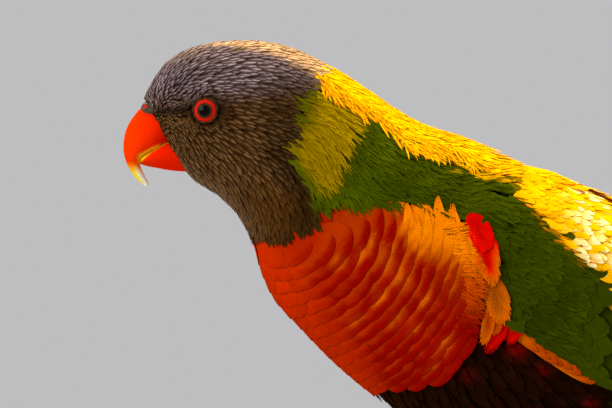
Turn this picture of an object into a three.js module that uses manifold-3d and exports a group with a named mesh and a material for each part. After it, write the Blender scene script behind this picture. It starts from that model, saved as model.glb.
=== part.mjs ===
// A life-size rainbow lorikeet that stands on its two feet, leans forward and looks ahead.
// Millimetres. The bird faces -X, its left side is -Y and +Z is up. Its toes rest on z = 0.
import * as THREE from "three";
import { mergeVertices } from "three/addons/utils/BufferGeometryUtils.js";
import Module from "manifold-3d";

const wasm = await Module();
wasm.setup();
const { Manifold, Mesh } = wasm;

// Driving dimensions
const GAP = 0.3; // clear space between two pieces that touch
const bodySides = 24; // faces round the body
const ringsPerStation = 2;
const eyeRadius = 4.4;
const irisRadius = 2.95;
const wingLength = 150; // bend of the wing to the longest primary's tip
const wingSlope = 22; // degrees below the horizontal
const tailLength = 124; // central tail feathers, from their roots
const tailSlope = 25;
const vaneThickness = 0.6;
const quillRise = 0.18; // ridge along the middle of a vane
const rowCrowding = 1.4; // draws a vane's rows of points towards its tip
const toeRadius = 1.9;
const footX = -18;
const footY = 15; // from the middle plane to each foot
const ankle = { x: -7, z: 24 };
const mergeWithin = 1e-4; // points closer than this are one point

// Colours and roughness of plumage, horn and skin
const colours = {
  hood: 0x3b2a24,
  collar: 0x8a8a10,
  breast: 0xd03a10,
  green: 0x3f5a0c,
  tail: 0x55701a,
  bill: 0xff4a10,
  cere: 0x5a3a30,
  eye: 0xd02a10,
  thigh: 0x4a6a14,
  foot: 0x6a6460,
  claw: 0x2e2a28,
};
const roughness = { feathers: 0.8, horn: 0.35, skin: 0.6, eye: 0.1 };

const rad = THREE.MathUtils.degToRad;
const lerp = THREE.MathUtils.lerp;

// Solids
function solidOf(geometry) {
  const position = geometry.getAttribute("position").clone();
  const plain = new THREE.BufferGeometry().setAttribute("position", position);
  if (geometry.index) plain.setIndex(geometry.index.clone());
  const merged = mergeVertices(plain, mergeWithin);
  const mesh = new Mesh({
    numProp: 3,
    vertProperties: merged.attributes.position.array,
    triVerts: new Uint32Array(merged.index.array),
  });
  return new Manifold(mesh);
}

// Keeps the largest closed surface, so that a sealed hollow is filled and a scrap is dropped.
function largest(solid) {
  const pieces = solid.decompose();
  return pieces.reduce((a, b) => (b.volume() > a.volume() ? b : a));
}

function geometryOf(solid) {
  const mesh = solid.getMesh();
  const stride = mesh.numProp;
  const positions = new Float32Array(mesh.numVert * 3);
  for (let i = 0; i < mesh.numVert; i += 1) {
    positions.set(mesh.vertProperties.subarray(i * stride, i * stride + 3), i * 3);
  }
  const geometry = new THREE.BufferGeometry();
  geometry.setAttribute("position", new THREE.BufferAttribute(positions, 3));
  geometry.setIndex(new THREE.BufferAttribute(mesh.triVerts, 1));
  geometry.computeVertexNormals();
  return geometry;
}

const group = new THREE.Group();

function addNode(name, solid, colour, rough = roughness.feathers) {
  const material = new THREE.MeshStandardMaterial({ color: colour, roughness: rough, metalness: 0 });
  const mesh = new THREE.Mesh(geometryOf(largest(solid)), material);
  mesh.name = name;
  group.add(mesh);
}

// A smooth value through knots [at, value].
function profile(knots) {
  const slope = (i) => {
    const a = knots[Math.max(i - 1, 0)];
    const b = knots[Math.min(i + 1, knots.length - 1)];
    return (b[1] - a[1]) / (b[0] - a[0]);
  };
  return (at) => {
    const x = THREE.MathUtils.clamp(at, knots[0][0], knots.at(-1)[0]);
    let i = 0;
    while (i < knots.length - 2 && x > knots[i + 1][0]) i += 1;
    const [x0, v0] = knots[i];
    const [x1, v1] = knots[i + 1];
    const span = x1 - x0;
    const s = (x - x0) / span;
    const s2 = s * s;
    const s3 = s2 * s;
    return (
      v0 * (2 * s3 - 3 * s2 + 1) +
      v1 * (3 * s2 - 2 * s3) +
      slope(i) * span * (s3 - 2 * s2 + s) +
      slope(i + 1) * span * (s3 - s2)
    );
  };
}

// A solid from a closed surface, with its faces turned to point out.
function closedSolid(points, faces) {
  const geometry = new THREE.BufferGeometry().setFromPoints(points);
  geometry.setIndex(faces);
  const solid = solidOf(geometry);
  if (solid.volume() > 0) return solid;
  const turned = [];
  for (let i = 0; i < faces.length; i += 3) turned.push(faces[i], faces[i + 2], faces[i + 1]);
  geometry.setIndex(turned);
  return solidOf(geometry);
}

// A closed solid from rings of points; each ring has the same number of points, and a pole closes each end.
function ringSolid(rings, startPole, endPole) {
  const sides = rings[0].length;
  const points = [...rings.flat(), startPole, endPole];
  const faces = [];
  for (let r = 0; r + 1 < rings.length; r += 1) {
    for (let k = 0; k < sides; k += 1) {
      const a = r * sides + k;
      const b = r * sides + ((k + 1) % sides);
      faces.push(a, b, b + sides, a, b + sides, a + sides);
    }
  }
  const last = (rings.length - 1) * sides;
  const start = points.length - 2;
  for (let k = 0; k < sides; k += 1) {
    const next = (k + 1) % sides;
    faces.push(start, next, k);
    faces.push(start + 1, last + k, last + next);
  }
  return closedSolid(points, faces);
}

// A loft between an upper and a lower line in the middle plane. Stations hold
// top [x, z], bottom [x, z], half width and lean, which lifts the widest place towards the top.
// Domes are how far the rounded front and rear ends stand out.
const domeSteps = [70, 40]; // degrees round each end at which it has a ring
class Loft {
  constructor(stations, domes = [1.5, 1.5]) {
    const flat = (p) => new THREE.Vector3(p[0], 0, p[1]);
    this.top = new THREE.CatmullRomCurve3(stations.map((s) => flat(s.top)));
    this.bottom = new THREE.CatmullRomCurve3(stations.map((s) => flat(s.bottom)));
    this.wide = profile(stations.map((s, i) => [i / (stations.length - 1), s.half]));
    this.lean = profile(stations.map((s, i) => [i / (stations.length - 1), s.lean ?? 0]));
    this.count = stations.length - 1;
    this.domes = domes;
  }

  section(t) {
    const top = this.top.getPoint(t);
    const bottom = this.bottom.getPoint(t);
    const centre = top.clone().add(bottom).multiplyScalar(0.5);
    const up = top.clone().sub(bottom);
    const height = up.length() / 2;
    up.normalize();
    const forward = new THREE.Vector3(-up.z, 0, up.x); // towards the bill where up is up
    return { centre, up, forward, height, half: this.wide(t), lean: this.lean(t) };
  }

  // The point at angle phi, 0 at the top line, raised by lift.
  point(t, phi, lift = 0, shrink = 1, push = 0) {
    const s = this.section(t);
    const rise = (s.height + lift) * shrink * (Math.cos(phi) + s.lean * Math.sin(phi) ** 2);
    const side = (s.half + lift) * shrink * Math.sin(phi);
    return s.centre
      .clone()
      .addScaledVector(s.up, rise)
      .addScaledVector(s.forward, push)
      .setY(side);
  }

  solid({ lift = 0, sides = 16, rings = this.count * 2, from = 0, to = 1 } = {}) {
    const ring = (t, shrink, push) =>
      Array.from({ length: sides }, (_, k) => this.point(t, (2 * Math.PI * k) / sides, lift, shrink, push));
    const made = domeSteps.map((b) =>
      ring(from, Math.cos(rad(b)), (this.domes[0] + lift) * Math.sin(rad(b))),
    );
    for (let i = 0; i <= rings; i += 1) made.push(ring(lerp(from, to, i / rings), 1, 0));
    domeSteps
      .toReversed()
      .forEach((b) => made.push(ring(to, Math.cos(rad(b)), -(this.domes[1] + lift) * Math.sin(rad(b)))));
    const pole = (t, push) => {
      const s = this.section(t);
      return s.centre.clone().addScaledVector(s.forward, push);
    };
    return ringSolid(made, pole(from, this.domes[0] + lift), pole(to, -(this.domes[1] + lift)));
  }

  // The plane of a section, as a normal towards the tail and its distance from the origin.
  plane(t) {
    const s = this.section(t);
    const normal = s.forward.clone().negate();
    return { normal: normal.toArray(), offset: normal.dot(s.centre) };
  }
}

// A round limb along points, with its radius at each share of its length.
const limbEnd = 0.5; // how far its ends stand out, in radii
function limb(points, radius, { sides = 8, rings = 6, lift = 0, flatten = 1 } = {}) {
  const path = new THREE.CatmullRomCurve3(points.map((p) => new THREE.Vector3(...p)));
  const course = path.getPoint(1).sub(path.getPoint(0));
  const side = new THREE.Vector3(-course.y, course.x, 0);
  if (side.length() < mergeWithin) side.set(0, 1, 0);
  side.normalize();
  const made = [];
  for (let i = 0; i <= rings; i += 1) {
    const t = i / rings;
    const centre = path.getPoint(t);
    const tangent = path.getTangent(t);
    const normal = new THREE.Vector3().crossVectors(tangent, side).normalize();
    const r = radius(t) + lift;
    made.push(
      Array.from({ length: sides }, (_, k) => {
        const phi = (2 * Math.PI * (k + 0.5)) / sides;
        return centre
          .clone()
          .addScaledVector(side, r * Math.cos(phi))
          .addScaledVector(normal, r * flatten * Math.sin(phi));
      }),
    );
  }
  const ends = [0, 1].map((t) => {
    const sign = t ? 1 : -1;
    return path.getPoint(t).addScaledVector(path.getTangent(t), sign * (radius(t) * limbEnd + lift));
  });
  return ringSolid(made, ends[0], ends[1]);
}

function ball(centre, radius, stretch = [1, 1, 1], detail = [16, 10]) {
  const geometry = new THREE.SphereGeometry(radius, ...detail);
  geometry.scale(...stretch);
  geometry.translate(...centre);
  return solidOf(geometry);
}

// Head, neck and torso, as one form
const bodyStations = [
  { top: [-114, 125.5], bottom: [-103.5, 106.6], half: 7.6 }, // face
  { top: [-108.4, 134.4], bottom: [-100.2, 103.8], half: 11.6 }, // brow
  { top: [-100.7, 138.8], bottom: [-95.6, 101], half: 14.2 }, // forecrown
  { top: [-89.2, 140.3], bottom: [-90.3, 96.1], half: 16.2 }, // crown
  { top: [-79, 139.4], bottom: [-87.2, 90.8], half: 17.4 }, // hind crown
  { top: [-70.1, 135.9], bottom: [-85.4, 86], half: 18 }, // nape
  { top: [-61.2, 130.8], bottom: [-83.6, 80], half: 18.8 }, // collar
  { top: [-51, 123.8], bottom: [-80.3, 73.4], half: 20.2 }, // hind neck
  { top: [-42.1, 118.7], bottom: [-74.7, 67.4], half: 22.3 }, // neck
  { top: [-31.9, 115.6], bottom: [-66.6, 59], half: 25, lean: 0.02 }, // mantle
  { top: [-20.4, 110.7], bottom: [-55.6, 49.6], half: 27.6, lean: 0.04 }, // shoulder
  { top: [-7.7, 104.5], bottom: [-40.8, 39.6], half: 28.6, lean: 0.06 }, // back
  { top: [5.1, 97.7], bottom: [-22.9, 32.2], half: 28.2, lean: 0.08 }, // loin
  { top: [25.5, 86.2], bottom: [15.3, 29.8], half: 23, lean: 0.1 }, // rump
  { top: [43.4, 75], bottom: [38.2, 38], half: 16, lean: 0.1 }, // tail head
  { top: [58.6, 65.3], bottom: [57.4, 43.4], half: 12.5, lean: 0.1 }, // tail root
  { top: [84, 48.8], bottom: [82, 44.6], half: 8 }, // end of the tail coverts
];
const body = new Loft(bodyStations, [1.6, 3]);
const bodyRings = Math.round(body.count * ringsPerStation);
const bodySolid = (lift) => body.solid({ lift, sides: bodySides, rings: bodyRings });
const planeAt = (station) => body.plane(station / body.count);

const wholeBody = bodySolid(0);
const bodyClearance = bodySolid(GAP);

// Cuts between the body's nodes, counted in stations from the face
const cuts = { headNeck: planeAt(5.3), neckTorso: planeAt(8.6), tail: planeAt(13.7) };

function behind(solid, cut) {
  return solid.trimByPlane(cut.normal, cut.offset + GAP / 2);
}

function ahead(solid, cut) {
  return solid.trimByPlane(cut.normal.map((v) => -v), -(cut.offset - GAP / 2));
}

// Bill
const upperBill = new Loft(
  [
    { top: [-106, 125], bottom: [-102, 115.5], half: 6.8, lean: -0.3 },
    { top: [-113.2, 123.6], bottom: [-107.6, 113.9], half: 7.1, lean: -0.3 },
    { top: [-116.5, 120.6], bottom: [-109.9, 112.4], half: 6.6, lean: -0.3 },
    { top: [-118.4, 117], bottom: [-112, 111.5], half: 5.8, lean: -0.3 },
    { top: [-119, 112.8], bottom: [-114.2, 110.1], half: 4.7, lean: -0.25 },
    { top: [-118.4, 109.5], bottom: [-114.7, 108.5], half: 3.3, lean: -0.1 },
    { top: [-117, 106.8], bottom: [-114.1, 106.9], half: 2.3 },
    { top: [-115.3, 104.5], bottom: [-113.3, 105.2], half: 1.4 },
    { top: [-113.2, 102.8], bottom: [-112.4, 103.5], half: 0.5 },
  ],
  [0.5, 0.3],
);
const lowerBill = new Loft(
  [
    { top: [-100, 117], bottom: [-97, 106.2], half: 6.3, lean: 0.2 },
    { top: [-106.8, 115], bottom: [-103.5, 106.7], half: 6.2, lean: 0.2 },
    { top: [-109.6, 113.4], bottom: [-107, 107], half: 5.5, lean: 0.2 },
    { top: [-112, 111.6], bottom: [-110.4, 107.6], half: 4.4, lean: 0.2 },
    { top: [-114, 110.2], bottom: [-113.6, 108.3], half: 2.7, lean: 0.1 },
  ],
  [0.5, 0.6],
);
const billSolid = (loft, lift = 0) => loft.solid({ lift, sides: 12, rings: 10 });

const nostrilAt = { x: -113.4, z: 123.2 };
const cereCentre = [nostrilAt.x + 1.2, 0, nostrilAt.z - 0.4];
const cereHalfAxes = [4, 8, 3.6];
const cereHeight = 1.2; // over the upper bill
const nostrilRadius = 0.75;
const nostrilY = 5;

// Eyes and lids
const eyeAt = { x: -98.3, z: 122.2 };
const lidRadius = irisRadius + 0.55;
const lidThickness = 0.6;
const eyeDetail = [14, 8]; // faces round and up an eye
const search = { tEnd: 0.4, tStep: 0.004, phiStart: 0.6, phiEnd: 2.6, phiStep: 0.04 };
const nudge = { t: 0.002, phi: 0.01 };

// The place on the right side of the body at x, z, and the way out of the surface there.
function seatAt(x, z) {
  let best = { miss: Infinity };
  for (let t = 0; t <= search.tEnd; t += search.tStep) {
    for (let phi = search.phiStart; phi < search.phiEnd; phi += search.phiStep) {
      const place = body.point(t, phi);
      const miss = Math.hypot(place.x - x, place.z - z);
      if (miss < best.miss) best = { miss, t, phi, place };
    }
  }
  const { t, phi, place } = best;
  const along = body.point(t + nudge.t, phi).sub(place);
  const round = body.point(t, phi + nudge.phi).sub(place);
  const out = new THREE.Vector3().crossVectors(along, round).normalize();
  return { place, out: out.y > 0 ? out : out.negate() };
}

const eyeSeat = seatAt(eyeAt.x, eyeAt.z);
const eyeDepth = Math.sqrt(eyeRadius ** 2 - irisRadius ** 2);
const onSide = (vector, side) => new THREE.Vector3(vector.x, vector.y * side, vector.z);
const eyeMiddle = eyeSeat.place.clone().addScaledVector(eyeSeat.out, -eyeDepth);
const eyeBall = (side, lift = 0) => ball(onSide(eyeMiddle, side), eyeRadius + lift, [1, 1, 1], eyeDetail);

function lidRing(side) {
  const ring = new THREE.TorusGeometry(lidRadius, lidThickness, 5, eyeDetail[0]);
  const up = new THREE.Vector3(0, 0, 1);
  ring.applyQuaternion(new THREE.Quaternion().setFromUnitVectors(up, onSide(eyeSeat.out, side)));
  ring.translate(...onSide(eyeSeat.place, side));
  return solidOf(ring);
}

// Wing: a surface round the wing's axis that the folded feathers lie on
const wingStart = { x: -31.9, z: 90.5 };
const wingDirection = new THREE.Vector3(Math.cos(rad(wingSlope)), 0, -Math.sin(rad(wingSlope)));
const wingUp = new THREE.Vector3(Math.sin(rad(wingSlope)), 0, Math.cos(rad(wingSlope)));
const wingHalfWidth = profile([
  [0, 30.8],
  [20, 32.2],
  [45, 31.8],
  [75, 27.3],
  [105, 21.5],
  [130, 17.5],
  [wingLength, 15],
]);
const wingRise = profile([
  [0, 26],
  [20, 25.5],
  [45, 22.5],
  [75, 17.5],
  [105, 13.5],
  [130, 11],
  [wingLength, 9],
]);
const wingDrop = 60; // how far below the axis the side would close again

// Across is measured round the side in millimetres, from its widest line, downwards.
const wingBed = (side) => (along, across, lift) => {
  const half = wingHalfWidth(along);
  const rise = wingRise(along);
  const quarter = (Math.PI / 2) * Math.sqrt((half ** 2 + rise ** 2) / 2);
  const below = across > 0;
  const theta = (Math.PI / 2) * (1 + (below ? 0 : across / quarter)) + (below ? across / wingDrop : 0);
  return new THREE.Vector3(wingStart.x, 0, wingStart.z)
    .addScaledVector(wingDirection, along)
    .addScaledVector(wingUp, ((below ? wingDrop : rise) + lift) * Math.cos(theta))
    .setY(side * (half + lift) * Math.sin(theta));
};

// A closed sheet on a bed between two lifts. Grid lines are alike on both faces.
function sheet(bed, rows, columns, place) {
  const points = [];
  const at = (layer, r, c) => (layer * (rows + 1) + r) * (columns + 1) + c;
  for (const layer of [0, 1]) {
    for (let r = 0; r <= rows; r += 1) {
      for (let c = 0; c <= columns; c += 1) {
        const { along, across, top, bottom } = place(r / rows, c / columns);
        points.push(bed(along, across, layer ? bottom : top));
      }
    }
  }
  const faces = [];
  const quad = (a, b, c, d) => faces.push(a, b, c, a, c, d);
  for (let r = 0; r < rows; r += 1) {
    for (let c = 0; c < columns; c += 1) {
      quad(at(0, r, c), at(0, r, c + 1), at(0, r + 1, c + 1), at(0, r + 1, c));
      faces.push(at(1, r, c), at(1, r + 1, c + 1), at(1, r, c + 1));
      faces.push(at(1, r, c), at(1, r + 1, c), at(1, r + 1, c + 1));
    }
  }
  for (let r = 0; r < rows; r += 1) {
    quad(at(0, r, 0), at(0, r + 1, 0), at(1, r + 1, 0), at(1, r, 0));
    quad(at(0, r + 1, columns), at(0, r, columns), at(1, r, columns), at(1, r + 1, columns));
  }
  for (let c = 0; c < columns; c += 1) {
    quad(at(0, 0, c + 1), at(0, 0, c), at(1, 0, c), at(1, 0, c + 1));
    quad(at(0, rows, c), at(0, rows, c + 1), at(1, rows, c + 1), at(1, rows, c));
  }
  return closedSolid(points, faces);
}

// Where the folded wing's upper and lower edges run across the bed.
const wingTopEdge = profile([[0, -21], [12, -28], [30, -33], [60, -32], [80, -26], [100, -15]]);
const wingBottomEdge = profile([[0, 12], [12, 16], [20, 18.5], [42, 21], [63, 19], [80, 13], [100, 3]]);

// The slab that holds the feathers' roots. Its front edge slants back below the widest line.
const core = {
  front: 4,
  rear: 100,
  slant: 0.6,
  slantFrom: -2,
  middle: -2.2,
  rise: 1.4,
  thickness: [5.5, 1.4],
  thinning: [55, 95],
  rounding: { side: 0.35, sideRise: 2, front: 0.4, endRise: 6 },
};

function wingCore(side) {
  const { rounding } = core;
  return sheet(wingBed(side), 12, 7, (r, c) => {
    const guess = lerp(core.front, core.rear, r);
    const level = lerp(wingTopEdge(guess), wingBottomEdge(guess), c);
    const front = core.front + core.slant * Math.max(0, level - core.slantFrom);
    const along = lerp(front, core.rear, r);
    const sideEdge = Math.min(1, rounding.side + Math.sin(Math.PI * c) * rounding.sideRise);
    const endEdge = Math.min(1, (1 - r) * rounding.endRise, rounding.front + r * rounding.endRise);
    const thick = lerp(...core.thickness, THREE.MathUtils.smoothstep(along, ...core.thinning));
    return {
      along,
      across: lerp(wingTopEdge(along), wingBottomEdge(along), c),
      top: core.middle + core.rise * sideEdge * endEdge,
      bottom: core.middle - thick,
    };
  });
}

// One feather on a bed. Root and tip are [along, across] there, widths are millimetres, and the
// edge towards larger across is raised by tilt and the other one lowered.
const vaneTip = 0.12; // share of the width at the very tip
const vaneRoot = { width: 0.7, length: 1 / 3 }; // share of the width at the root, and how soon it is full
const step = 0.5;
function vane(bed, { root, tip, width, lift, tilt = 0, rows = 3, columns = 2, point = 0.5 }) {
  return sheet(bed, rows, columns, (r, c) => {
    const share = 1 - (1 - r) ** rowCrowding;
    const along = lerp(root[0], tip[0], share);
    const across = lerp(root[1], tip[1], share);
    const here = bed(along, across, 0);
    const byAlong = bed(along + step, across, 0).sub(here).divideScalar(step);
    const byAcross = bed(along, across + step, 0).sub(here).divideScalar(step);
    const normal = new THREE.Vector3().crossVectors(byAlong, byAcross).normalize();
    const course = byAlong
      .clone()
      .multiplyScalar(tip[0] - root[0])
      .addScaledVector(byAcross, tip[1] - root[1]);
    const side = new THREE.Vector3().crossVectors(normal, course).normalize();
    const [aa, ab, bb] = [byAlong.dot(byAlong), byAlong.dot(byAcross), byAcross.dot(byAcross)];
    const [sa, sb] = [side.dot(byAlong), side.dot(byAcross)];
    const scale = aa * bb - ab * ab;
    const u = 2 * c - 1;
    const taper = Math.sqrt(Math.max(0, 1 - Math.max(0, (share - point) / (1 - point)) ** 2));
    const rooted = lerp(vaneRoot.width, 1, Math.min(1, share / vaneRoot.length));
    const offset = (u * width * Math.max(taper, vaneTip) * rooted) / 2;
    const top = lerp(lift[0], lift[1], share) + tilt * u + quillRise * (1 - Math.abs(u));
    return {
      along: along + (offset * (sa * bb - sb * ab)) / scale,
      across: across + (offset * (sb * aa - sa * ab)) / scale,
      top,
      bottom: top - vaneThickness - quillRise,
    };
  });
}

// Rows of like feathers on a wing; pairs hold the first and the last one's value.
const wingTiers = [
  {
    // primaries
    count: 7,
    root: [[66, 15], [60, 0]],
    tip: [[wingLength, -5], [108, -14]],
    width: [8.5, 10],
    lift: [[-4, -1.6], [-1.4, -1.1]],
    rows: 4,
    point: 0.5,
  },
  {
    // secondaries
    count: 6,
    root: [[44, 15], [34, -25]],
    tip: [[102, -3], [94, -20]],
    width: [9, 11],
    lift: [[-2, -2], [-0.8, -0.4]],
    rows: 3,
    point: 0.55,
  },
  {
    // tertials
    count: 3,
    root: [[34, -26], [26, -31]],
    tip: [[85, -23], [65, -30]],
    width: [11, 11],
    lift: [[-2, -1.8], [-0.1, 0.3]],
    rows: 3,
    point: 0.55,
  },
  {
    // primary coverts
    count: 3,
    root: [[42, 16.5], [40, 6]],
    tip: [[78, 11], [73, 2]],
    width: [8, 8],
    lift: [[-2, -2], [-0.5, -0.3]],
    rows: 3,
    point: 0.4,
  },
  {
    // greater coverts
    count: 6,
    root: [[24, 13], [18, -21]],
    tip: [[56, 10], [54, -23]],
    width: [9.5, 11],
    lift: [[-1.9, -1.9], [0.2, 0.4]],
    rows: 3,
    point: 0.35,
  },
  {
    // underwing coverts
    count: 3,
    root: [[17, 14.5], [35, 18]],
    tip: [[38, 21.5], [60, 20.5]],
    width: [7, 7],
    lift: [[-2.9, -2.9], [-1.9, -1.9]],
    rows: 3,
    point: 0.35,
  },
  {
    // alula
    count: 2,
    root: [[19, 14.5], [17, 9]],
    tip: [[47, 17], [41, 13]],
    width: [6.5, 6.5],
    lift: [[-1.8, -1.8], [0.5, 0.8]],
    rows: 3,
    point: 0.35,
  },
  {
    // median coverts
    count: 5,
    root: [[10, 8], [8, -19]],
    tip: [[34, 7], [34, -22]],
    width: [10, 11],
    lift: [[-1.8, -1.8], [0.8, 0.9]],
    rows: 3,
    point: 0.3,
  },
  {
    // scapulars
    count: 4,
    root: [[4, -21], [26, -29]],
    tip: [[30, -26], [58, -30]],
    width: [11, 11],
    lift: [[-1.8, -1.8], [0.9, 0.8]],
    rows: 3,
    point: 0.3,
  },
];
const shingleTilt = 0.3;

function tierVanes(bed, tier) {
  return Array.from({ length: tier.count }, (_, i) => {
    const share = i / (tier.count - 1);
    const between = ([a, b]) =>
      Array.isArray(a) ? a.map((v, k) => lerp(v, b[k], share)) : lerp(a, b, share);
    return vane(bed, {
      root: between(tier.root),
      tip: between(tier.tip),
      width: between(tier.width),
      lift: tier.lift.map(([first, last]) => lerp(first, last, share)),
      tilt: shingleTilt,
      rows: tier.rows,
      point: tier.point,
    });
  });
}

function wingSolid(side) {
  const bed = wingBed(side);
  const vanes = wingTiers.flatMap((tier) => tierVanes(bed, tier));
  return vanes.reduce((made, feather) => made.add(feather), wingCore(side));
}

// Tail: a flat, slightly domed bed behind the rump
const tailStart = { x: 37, z: 69 };
const tailDirection = new THREE.Vector3(Math.cos(rad(tailSlope)), 0, -Math.sin(rad(tailSlope)));
const tailUp = new THREE.Vector3(Math.sin(rad(tailSlope)), 0, Math.cos(rad(tailSlope)));
const tailDome = 90; // the smaller, the more the sheet's sides hang down
const tailBed = (along, across, lift) =>
  new THREE.Vector3(tailStart.x, across, tailStart.z)
    .addScaledVector(tailDirection, along)
    .addScaledVector(tailUp, lift - across ** 2 / tailDome);

const tailPairs = [
  { length: tailLength, width: 10.5 },
  { length: 117, width: 10.5 },
  { length: 108, width: 10.5 },
  { length: 97, width: 10 },
  { length: 86, width: 9.5 },
  { length: 75, width: 9 },
];
const tailStep = { lift: 0.45, across: 1.35 }; // each pair lies lower and farther out than the one before
const tailFirst = { root: 14, across: 2.2, lift: 1 }; // the central pair
const tailSpread = { root: 0.8, tip: 0.75 };
const tailHalfWidth = 14.2;

function tailVanes() {
  return tailPairs.flatMap(({ length, width }, i) =>
    [-1, 1].map((side) => {
      const across = side * (tailFirst.across + i * tailStep.across);
      const lift = tailFirst.lift - i * tailStep.lift + (side > 0 ? tailStep.lift / 2 : 0);
      return vane(tailBed, {
        root: [tailFirst.root, across * tailSpread.root],
        tip: [length, across * tailSpread.tip],
        width,
        lift: [lift, lift],
        rows: 4,
        point: 0.5,
      });
    }),
  );
}

// Coverts above and below the tail's root
const tailCovert = { root: 28, reach: 74, spread: 0.6, width: 11, point: 0.35 };
const covertSides = [
  { lift: [4.4, 2.2], shorter: 0 }, // above
  { lift: [-4.6, -2.2], shorter: 6 }, // below
];

function tailCoverts() {
  return [-7, 7, 0].flatMap((across) =>
    covertSides.map(({ lift, shorter }) =>
      vane(tailBed, {
        root: [tailCovert.root, across * tailCovert.spread],
        tip: [tailCovert.reach - Math.abs(across) - shorter, across],
        width: tailCovert.width,
        lift,
        point: tailCovert.point,
      }),
    ),
  );
}

// The space that the wings keep clear of the tail's vanes.
const tailSpaceEnds = { front: 8, beyond: 2, top: 1.6, bottom: -3 };

function tailClearance() {
  const half = tailHalfWidth + GAP;
  return sheet(tailBed, 8, 6, (r, c) => ({
    along: lerp(tailSpaceEnds.front, tailLength + tailSpaceEnds.beyond, r),
    across: lerp(-half, half, c),
    top: tailSpaceEnds.top + GAP,
    bottom: tailSpaceEnds.bottom - GAP,
  }));
}

// Legs
const ground = 200; // size of the block below the floor that trims the soles
const floorBlock = solidOf(new THREE.BoxGeometry(ground, ground, ground).translate(0, 0, -ground / 2));

const toes = [
  { name: "front_outer", length: 18.5, turn: 12, radius: 1 },
  { name: "front_inner", length: 13, turn: -20, radius: 0.92 },
  { name: "back_outer", length: 16, turn: 157, radius: 0.95 },
  { name: "back_inner", length: 9.5, turn: 203, radius: 0.85 },
];
const heel = { x: footX, z: 2.6 };
const toeCourse = [[0, heel.z], [0.35, 2.3], [0.7, 1.3], [1, 1.1]]; // share of the length, height
const toeTaper = [1.12, 0.78];
const toePads = 4;
const padSwell = 0.1;
const thighRadius = profile([[0, 12], [0.5, 9], [1, 3.6]]);
const shankRadius = profile([[0, 2.2], [0.5, 2.1], [0.8, 2.6], [1, 3.2]]);
const clawCourse = [[-1, 1.7], [1.6, 2.7], [4, 2.3], [5.6, 0.75]]; // reach beyond the toe, height
const clawRadius = profile([[0, 1.25], [0.5, 0.95], [1, 0.22]]);

function thighSolid(side, lift = 0) {
  const points = [
    [ankle.x + 1, side * (footY - 2), 52],
    [ankle.x + 1.5, side * (footY - 1), 38],
    [ankle.x + 0.4, side * footY, ankle.z - 1.5],
  ];
  return limb(points, thighRadius, { sides: 12, rings: 6, lift });
}

// A point in a toe's upright plane, some way from the heel.
function toePoint(toe, side, reach, z) {
  const angle = rad(180 + side * toe.turn);
  return [heel.x + Math.cos(angle) * reach, side * footY + Math.sin(angle) * reach, z];
}

function toeSolid(toe, side, lift = 0) {
  const points = toeCourse.map(([share, z]) => toePoint(toe, side, toe.length * share, z));
  const swell = (t) => padSwell * Math.cos(t * toePads * 2 * Math.PI);
  const radius = (t) => toeRadius * toe.radius * (lerp(...toeTaper, t) + swell(t));
  return limb(points, radius, { sides: 7, rings: 7, lift });
}

function footSolid(side, lift = 0) {
  const shank = limb(
    [
      [ankle.x + 2, side * footY, ankle.z + 4],
      [ankle.x - 1.5, side * footY, ankle.z - 6],
      [heel.x + 3, side * footY, heel.z + 7],
      [heel.x + 0.5, side * footY, heel.z],
    ],
    shankRadius,
    { sides: 8, rings: 5, lift },
  );
  return toes.reduce((made, toe) => made.add(toeSolid(toe, side, lift)), shank).subtract(floorBlock);
}

function clawSolid(toe, side) {
  const points = clawCourse.map(([reach, z]) => toePoint(toe, side, toe.length + reach, z));
  return limb(points, clawRadius, { sides: 6, rings: 4 });
}

// Assembly
const together = (solids) => solids.reduce((made, solid) => made.add(solid));
const without = (solid, tools) => tools.reduce((made, tool) => made.subtract(tool), solid);
const sides = [-1, 1];
const upperClearance = billSolid(upperBill, GAP);
const headWhole = together([ahead(wholeBody, cuts.headNeck), ...sides.map(lidRing)]);
const tailWhole = together([wholeBody, ...tailVanes(), ...tailCoverts()]);
const cereWhole = ball(cereCentre, 1, cereHalfAxes, [12, 8]).intersect(billSolid(upperBill, cereHeight));
const nostril = (side) => ball([nostrilAt.x, side * nostrilY, nostrilAt.z], nostrilRadius, [1, 3, 1], [6, 4]);

addNode("head", without(headWhole, sides.map((side) => eyeBall(side, GAP))), colours.hood);
addNode("neck", ahead(behind(wholeBody, cuts.headNeck), cuts.neckTorso), colours.collar);
addNode("torso", ahead(behind(wholeBody, cuts.neckTorso), cuts.tail), colours.breast);
addNode("tail", behind(tailWhole, cuts.tail), colours.tail);
addNode("bill_upper", billSolid(upperBill).subtract(bodyClearance), colours.bill, roughness.horn);
const lowerClearances = [upperClearance, bodyClearance];
addNode("bill_lower", without(billSolid(lowerBill), lowerClearances), colours.bill, roughness.horn);
const cereClearances = [upperClearance, bodyClearance, ...sides.map(nostril)];
addNode("cere", without(cereWhole, cereClearances), colours.cere, roughness.skin);

const tailSpace = tailClearance();
for (const side of sides) {
  const label = side < 0 ? "left" : "right";
  addNode(`eye_${label}`, eyeBall(side), colours.eye, roughness.eye);
  const wing = without(wingSolid(side), [bodyClearance, tailSpace]).trimByPlane([0, side, 0], GAP / 2);
  addNode(`wing_${label}`, wing, colours.green);
  addNode(`thigh_${label}`, thighSolid(side).subtract(bodyClearance), colours.thigh);
  const foot = without(footSolid(side), [thighSolid(side, GAP), bodyClearance]);
  addNode(`foot_${label}`, foot, colours.foot, roughness.skin);
  for (const toe of toes) {
    const claw = without(clawSolid(toe, side), [toeSolid(toe, side, GAP), floorBlock]);
    addNode(`claw_${label}_${toe.name}`, claw, colours.claw, roughness.horn);
  }
}

// The origin is on the floor, below the middle of the bird's box.
const box = new THREE.Box3().setFromObject(group);
group.position.x = -(box.min.x + box.max.x) / 2;

export default group;
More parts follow.
